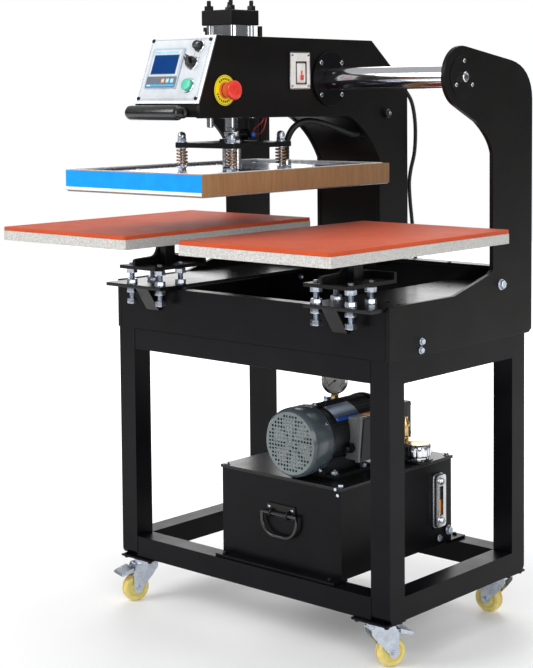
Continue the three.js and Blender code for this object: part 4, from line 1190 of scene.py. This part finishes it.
def power_switch():
    face = HEAD_X + HEAD_HALF
    b = Build()
    b.prism(rounded(-134.4, -65.6, 1203.6, 1286.4, 3), 2.8, 3.6, side_on(face), bright)
    b.piece("switch_plate_edge", HEAD)
    b = Build()
    frame_outer = ((-131.6, -68.4, 1206.4, 1214.6), (-131.6, -68.4, 1265.4, 1283.6),
                   (-131.6, -115.4, 1214.5, 1265.5), (-79.6, -68.4, 1214.5, 1265.5))
    for y0, y1, z0, z1 in frame_outer:
        b.block((face + 3.4, y0, z0), (face + 4.3, y1, z1), white, None, 0.2)
    for y in (-127, -73):
        for z in (1211, 1279):
            b.dome_screw((face + 4.2, y, z), RIGHT, 3.4, bright, dark)
    rocker_frame = ((-115.6, -113, 1214.4, 1265.6), (-82, -79.4, 1214.4, 1265.6),
                    (-113.4, -81.6, 1262.6, 1265.6), (-113.4, -81.6, 1214.4, 1217.4))
    for y0, y1, z0, z1 in rocker_frame:
        b.block((face + 3.5, y0, z0), (face + 5.4, y1, z1), plastic, None, 0.4)
    b.piece("switch_plate", HEAD)
    b = Build()
    b.block((face - 8, -112.5, 1218.5), (face + 5.6, -82.5, 1261.5), white, None, 2.2)
    b.block((face + 5.4, -102, 1224), (face + 8.6, -92, 1236), red, None, 1.2)
    b.block((face + 5.4, -99.5, 1237), (face + 6.4, -94.5, 1245), red, None, 0.4)
    rocker = b.piece("switch_rocker", "power")
    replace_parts(rocker, "power_switch")


def head_details():
    b = Build()
    for i in range(4):
        a = math.radians(45 + 90 * i)
        place = (HEAD_X + HEAD_HALF + 5.3, SHAFT_Y + 51 * math.cos(a), SHAFT_Z + 51 * math.sin(a))
        b.cap_screw(place, RIGHT, 5.2, 3, bright, dark)
    for sign in (-1, 1):
        face = HEAD_X + sign * HEAD_HALF
        out = (sign, 0, 0)
        b.lathe([(0, 0), (11, 0), (11, 9), (8.6, 12), (0, 12)], at((face, 214, 1145), out), rubber, 28)
        b.cap_screw((face + sign * 11.6, 214, 1145), out, 4, 3, zinc, dark)
        b.lathe([(2.6, 0), (4.4, 0), (4.2, 0.7), (2.6, 0.7)], at((face, 111, 1151), out), oxide, 20)
        # Painted shade: a dark disc inside the ring stands in for the hole.
        b.lathe([(0, 0.1), (2.7, 0.1), (2.7, 0.3), (0, 0.3)], at((face, 111, 1151), out), dark, 20)
    b.piece("head_bolts", HEAD)
    b = Build()
    for x in (-62, 62):
        for z in (860, 980, 1100, 1180):
            b.dome_screw((HEAD_X + x, 298, z), BACK, 4.2, zinc, dark)
    for x in (-70, 70):
        for y in (-300, -40, 110):
            z = 1316.7 if y < -40 else 1315.3
            b.dome_screw((HEAD_X + x, y, z), UP, 4.2, zinc, dark)
    b.piece("cover_screws", HEAD)


def push_handle():
    b = Build()
    height = 1157
    place = at((HEAD_X, -455, height), RIGHT)
    b.lathe([
        (0, -79), (7, -78.6), (12, -76.6), (15, -72.4), (15.8, -67),
        (15.8, 67), (15, 72.4), (12, 76.6), (7, 78.6), (0, 79),
    ], place, grip, 48)
    for x in (-50, 50):
        b.rod(8.6, 40, at((HEAD_X + x, -456, height), BACK), grip, 24, 0.6)
        b.lathe([(0, 0), (12.5, 0), (12.5, 3), (8.6, 7), (0, 7)],
                at((HEAD_X + x, -417.6, height), FRONT), grip, 28)
    made = b.piece("handle_grip", HEAD, sharp=40)
    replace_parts(made, "push_handle")


def cylinder():
    b = Build()
    b.block((HEAD_X - 45, PRESS_Y - 45, 1345), (HEAD_X + 45, PRESS_Y + 45, 1378), oxide, None, 1.4)
    b.block((HEAD_X - 84, PRESS_Y - 87, 1151.6), (HEAD_X + 84, PRESS_Y + 87, 1165.6), oxide, None, 1)
    made = b.piece("cylinder_blocks", HEAD)
    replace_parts(made, "cylinder")
    b = Build()
    b.rod(40, 181, at((HEAD_X, PRESS_Y, 1165), UP), chrome, 64, 0.3)
    b.lathe([(14.2, 0), (24, 0), (24, 9), (22, 11), (14.2, 11)], at((HEAD_X, PRESS_Y, 1141), UP), bright, 40)
    for _, a, c in CORNERS:
        x, y = HEAD_X + 33 * a, PRESS_Y + 33 * c
        b.rod(5.4, 206, at((x, y, 1140), UP), chrome, 20, 0.5)
        b.rod(7.6, 26, at((x, y, 1121), UP), chrome, 20, 1.2)
        b.hexagon(17, 10, at((x, y, 1378), UP, 0.3 * a), oxide)
        b.lathe([(0, 0), (10, 0), (10, 1.6), (0, 1.6)], at((x, y, 1376.8), UP), oxide, 24)
        b.rod(4.6, 12, at((x, y, 1387.6), UP), oxide, 20, 1)
    b.hexagon(15, 9, at((HEAD_X - 50, PRESS_Y - 22, 1333), UP), oxide)
    b.lathe([(0, 0), (5, 0), (5, 22), (0, 22)], at((HEAD_X - 50, PRESS_Y - 22, 1312), UP), oxide, 20)
    b.piece("cylinder_tube", HEAD)


def limit_switch():
    """A sensor on a bracket under the head, with its two red wires."""
    b = Build()
    x, y = HEAD_X + 44, PRESS_Y + 14
    b.block((x - 6, y - 12, 1118), (x + 6, y + 12, 1141.4), oxide, None, 0.8)
    b.lathe([(0, 0), (11, 0), (12, 1.4), (12, 16), (10, 19), (10, 23), (0, 23)],
            at((x - 24, y, 1106), RIGHT), plastic, 28)
    b.hexagon(13, 6, at((x, y, 1106), RIGHT), oxide)
    b.block((x + 3, y - 5, 1100), (x + 13, y + 5, 1111), label_blue, None, 2)
    b.block((x - 2, y - 5, 1110), (x + 4, y + 5, 1120), oxide, None, 0.6)
    b.piece("limit_switch", HEAD)
    routes = (
        ((12, -4, 1112), (17, -4, 1119), (26, -2, 1126), (34, 2, 1134), (38, 4, 1142)),
        ((14, 3, 1106), (24, 4, 1107), (33, 6, 1116), (37, 8, 1129), (40, 9, 1142)),
    )
    for i, route in enumerate(routes):
        points, length = smooth_path([spot(x + dx, y + dy, z) for dx, dy, z in route], 2.5 * MM)
        b = Build()
        b.tube(points, 1.0 * MM, wire_red, 10)
        made = b.piece(f"switch_wire_{i + 1}", HEAD)


# ---------- heated platen ----------
def spring_bolts():
    for corner, a, c in CORNERS:
        x, y = HEAD_X + 75 * a, PRESS_Y + 80 * c
        b = Build()
        b.rod(4.6, 76, at((x, y, 1028.4), UP), zinc, 20, 0.4)
        b.hexagon(18, 6, at((x, y, 1028.3), UP, 0.2), zinc)
        b.lathe([(4, 0), (13, 0), (13, 1.5), (4, 1.5)], at((x, y, 1034.2), UP), zinc, 28)
        b.lathe([(4, 0), (13, 0), (13, 1.5), (4, 1.5)], at((x, y, 1076.2), UP), zinc, 28)
        b.lathe([(5, 0), (12.4, 0), (12.4, 1.7), (5, 1.7)], at((x, y, 1089.1), UP), zinc, 28)
        b.hexagon(18, 8, at((x, y, 1090.6), UP, 0.1), zinc)
        b.lathe([(0, 0), (8.8, 0), (9, 3), (9, 7), (7.4, 11), (4.2, 13.6), (0, 14.6)],
                at((x, y, 1098.6), UP), zinc, 28)
        made = b.piece(f"hanger_bolt_{corner}", PRESS)
        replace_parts(made, f"spring_bolt_{corner}")
        b = Build()
        turns, low, high, radius = 5.0, 1038.0, 1074.0, 10.8
        steps = int(turns * 20)
        coil = []
        for i in range(steps + 1):
            angle = 2 * math.pi * turns * i / steps
            height = low + (high - low) * i / steps
            coil.append(spot(x + radius * math.cos(angle), y + radius * math.sin(angle), height))
        b.tube(coil, 2.2 * MM, spring_copper, 10)
        b.piece(f"spring_{corner}", PRESS, sharp=70)


def heated_platen():
    low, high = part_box("heater_cover")
    x0, x1 = low.x / MM, high.x / MM
    y0, y1 = (low.y - CART_Y) / MM, (high.y - CART_Y) / MM
    z0, z1 = low.z / MM, high.z / MM
    b = Build()
    b.block((x0 + 2, y0 - 0.8, z0 + 8), (x1 - 1, y0 + 0.4, z1 - 0.6), blue_enamel, None, 0.4)
    b.piece("front_band", PRESS)
    b = Build()
    b.block((x0 + 3, y0 - 0.6, z0 + 1.6), (x1 - 1.2, y0 + 0.4, z0 + 8.2), white, None, 0.3)
    b.piece("front_stripe", PRESS)
    b = Build()
    inset = 13.5
    left, right, front, rear = x0 + inset, x1 - inset, y0 + inset, y1 - inset
    corners = [(left, front), (right, front), (right, rear), (left, rear)]
    for (ax, ay), (bx, by) in zip(corners, corners[1:] + corners[:1]):
        count = int(math.hypot(bx - ax, by - ay) / 1.5)
        line = [spot(ax + (bx - ax) * i / count, ay + (by - ay) * i / count, z1 - 0.6)
                for i in range(count + 1)]
        b.tube(line, 2.4 * MM, braided, 8, ripple=(1.0, 0.8))
    b.piece("edge_braid", PRESS, sharp=80)
    b = Build()
    wall = 13
    z = z1 - 3.6
    b.block((x0 + wall, y0 + wall, z - 4), (x1 - wall, y0 + wall + 1.5, z + 3.4), steel, None, 0.4)
    b.block((x0 + wall, y1 - wall - 1.5, z - 4), (x1 - wall, y1 - wall, z + 3.4), steel, None, 0.4)
    b.block((x0 + wall, y0 + wall, z - 4), (x0 + wall + 1.5, y1 - wall, z + 3.4), steel, None, 0.4)
    b.block((x1 - wall - 1.5, y0 + wall, z - 4), (x1 - wall, y1 - wall, z + 3.4), steel, None, 0.4)
    b.block((x0 + wall + 2, y0 + wall + 2, z - 3.9), (x1 - wall - 2, y1 - wall - 2, z - 2.6),
            film_aluminium, None, 0.4)
    b.piece("insulation_lid", PRESS)
    b = Build()
    for x in (x0 + 40, x1 - 40):
        for k in range(5):
            y = y0 + 50 + (y1 - y0 - 100) * k / 4
            b.dome_screw((x, y, z - 2.6), UP, 3.6, zinc, dark)
    for sx, sy in ((-45, 30), (45, -30)):
        b.rod(8.6, 47, at((HEAD_X + sx, PRESS_Y + sy, 1030.6), UP), bright, 24, 0.6)
        b.hexagon(14, 6, at((HEAD_X + sx, PRESS_Y + sy, 1088.9), UP), zinc)
    b.lathe([(0, 0), (21, 0), (21, 3), (17, 6), (14.3, 6), (14.3, 14), (0, 14)],
            at((HEAD_X, PRESS_Y, 1089.2), UP), bright, 32)
    b.hexagon(30, 11, at((HEAD_X, PRESS_Y, 1102), UP), bright)
    b.hexagon(26, 8, at((HEAD_X, PRESS_Y, 1113.6), UP, 0.4), bright)
    for sx, sy in ((-30, 0), (30, 0), (0, -30)):
        b.cap_screw((HEAD_X + sx, PRESS_Y + sy, 1089), UP, 5, 6, oxide, dark)
    b.piece("platen_fittings", PRESS)


# ---------- stage ----------
def stage():
    b = Build()
    b.lathe([(0, -10), (9000, -10), (9000, 0), (0, 0)], Matrix.Scale(MM, 4), floor_white, 96)
    floor = b.piece("floor")
    world = bpy.data.worlds.new("studio")
    world.use_nodes = True
    tree = world.node_tree
    background = tree.nodes["Background"]
    # A bright ceiling over a darker room, so that polished metal has something to reflect.
    direction = tree.nodes.new("ShaderNodeTexCoord")
    height = tree.nodes.new("ShaderNodeSeparateXYZ")
    ramp = tree.nodes.new("ShaderNodeValToRGB")
    tree.links.new(direction.outputs["Generated"], height.inputs["Vector"])
    tree.links.new(height.outputs["Z"], ramp.inputs["Fac"])
    ramp.color_ramp.elements[0].position = 0.12
    ramp.color_ramp.elements[0].color = (0.3, 0.3, 0.31, 1)
    ramp.color_ramp.elements[1].position = 0.55
    ramp.color_ramp.elements[1].color = (1, 1, 1, 1)
    room = tree.nodes.new("ShaderNodeBackground")
    room.inputs["Strength"].default_value = 0.62
    tree.links.new(ramp.outputs["Color"], room.inputs["Color"])
    background.inputs["Color"].default_value = (1, 1, 1, 1)
    background.inputs["Strength"].default_value = 1.0
    seen = tree.nodes.new("ShaderNodeLightPath")
    mix = tree.nodes.new("ShaderNodeMixShader")
    tree.links.new(seen.outputs["Is Camera Ray"], mix.inputs["Fac"])
    tree.links.new(room.outputs["Background"], mix.inputs[1])
    tree.links.new(background.outputs["Background"], mix.inputs[2])
    tree.links.new(mix.outputs["Shader"], tree.nodes["World Output"].inputs["Surface"])
    bpy.context.scene.world = world
    bpy.context.scene.view_settings.view_transform = "Standard"
    for name, place, aim, size, power in (
        ("key", (-1.6, -3.2, 2.9), (0, 0, 0.9), 2.2, 95),
        ("fill", (3.4, -2.0, 1.8), (0, 0, 0.8), 2.0, 48),
        ("top", (0.4, 0.8, 3.4), (0, 0, 0.9), 2.4, 34),
        ("rear", (-2.4, 3.0, 2.2), (0, 0, 0.9), 2.2, 45),
    ):
        data = bpy.data.lights.new(name, "AREA")
        data.size = size
        data.energy = power
        light = bpy.data.objects.new(name, data)
        light.location = place
        light.rotation_mode = "QUATERNION"
        light.rotation_quaternion = (Vector(aim) - Vector(place)).to_track_quat("-Z", "Y")
        collection.objects.link(light)


make_camera()
make_leads()
finish_nodes()
cart_fasteners()
levelling_studs()
platen_details()
weld_beads()
casters()
motor()
hydraulics()
tank_details()
tank_handle()
pressure_gauge()
control_panel()
emergency_stop()
power_switch()
head_details()
push_handle()
cylinder()
limit_switch()
spring_bolts()
heated_platen()
stage()
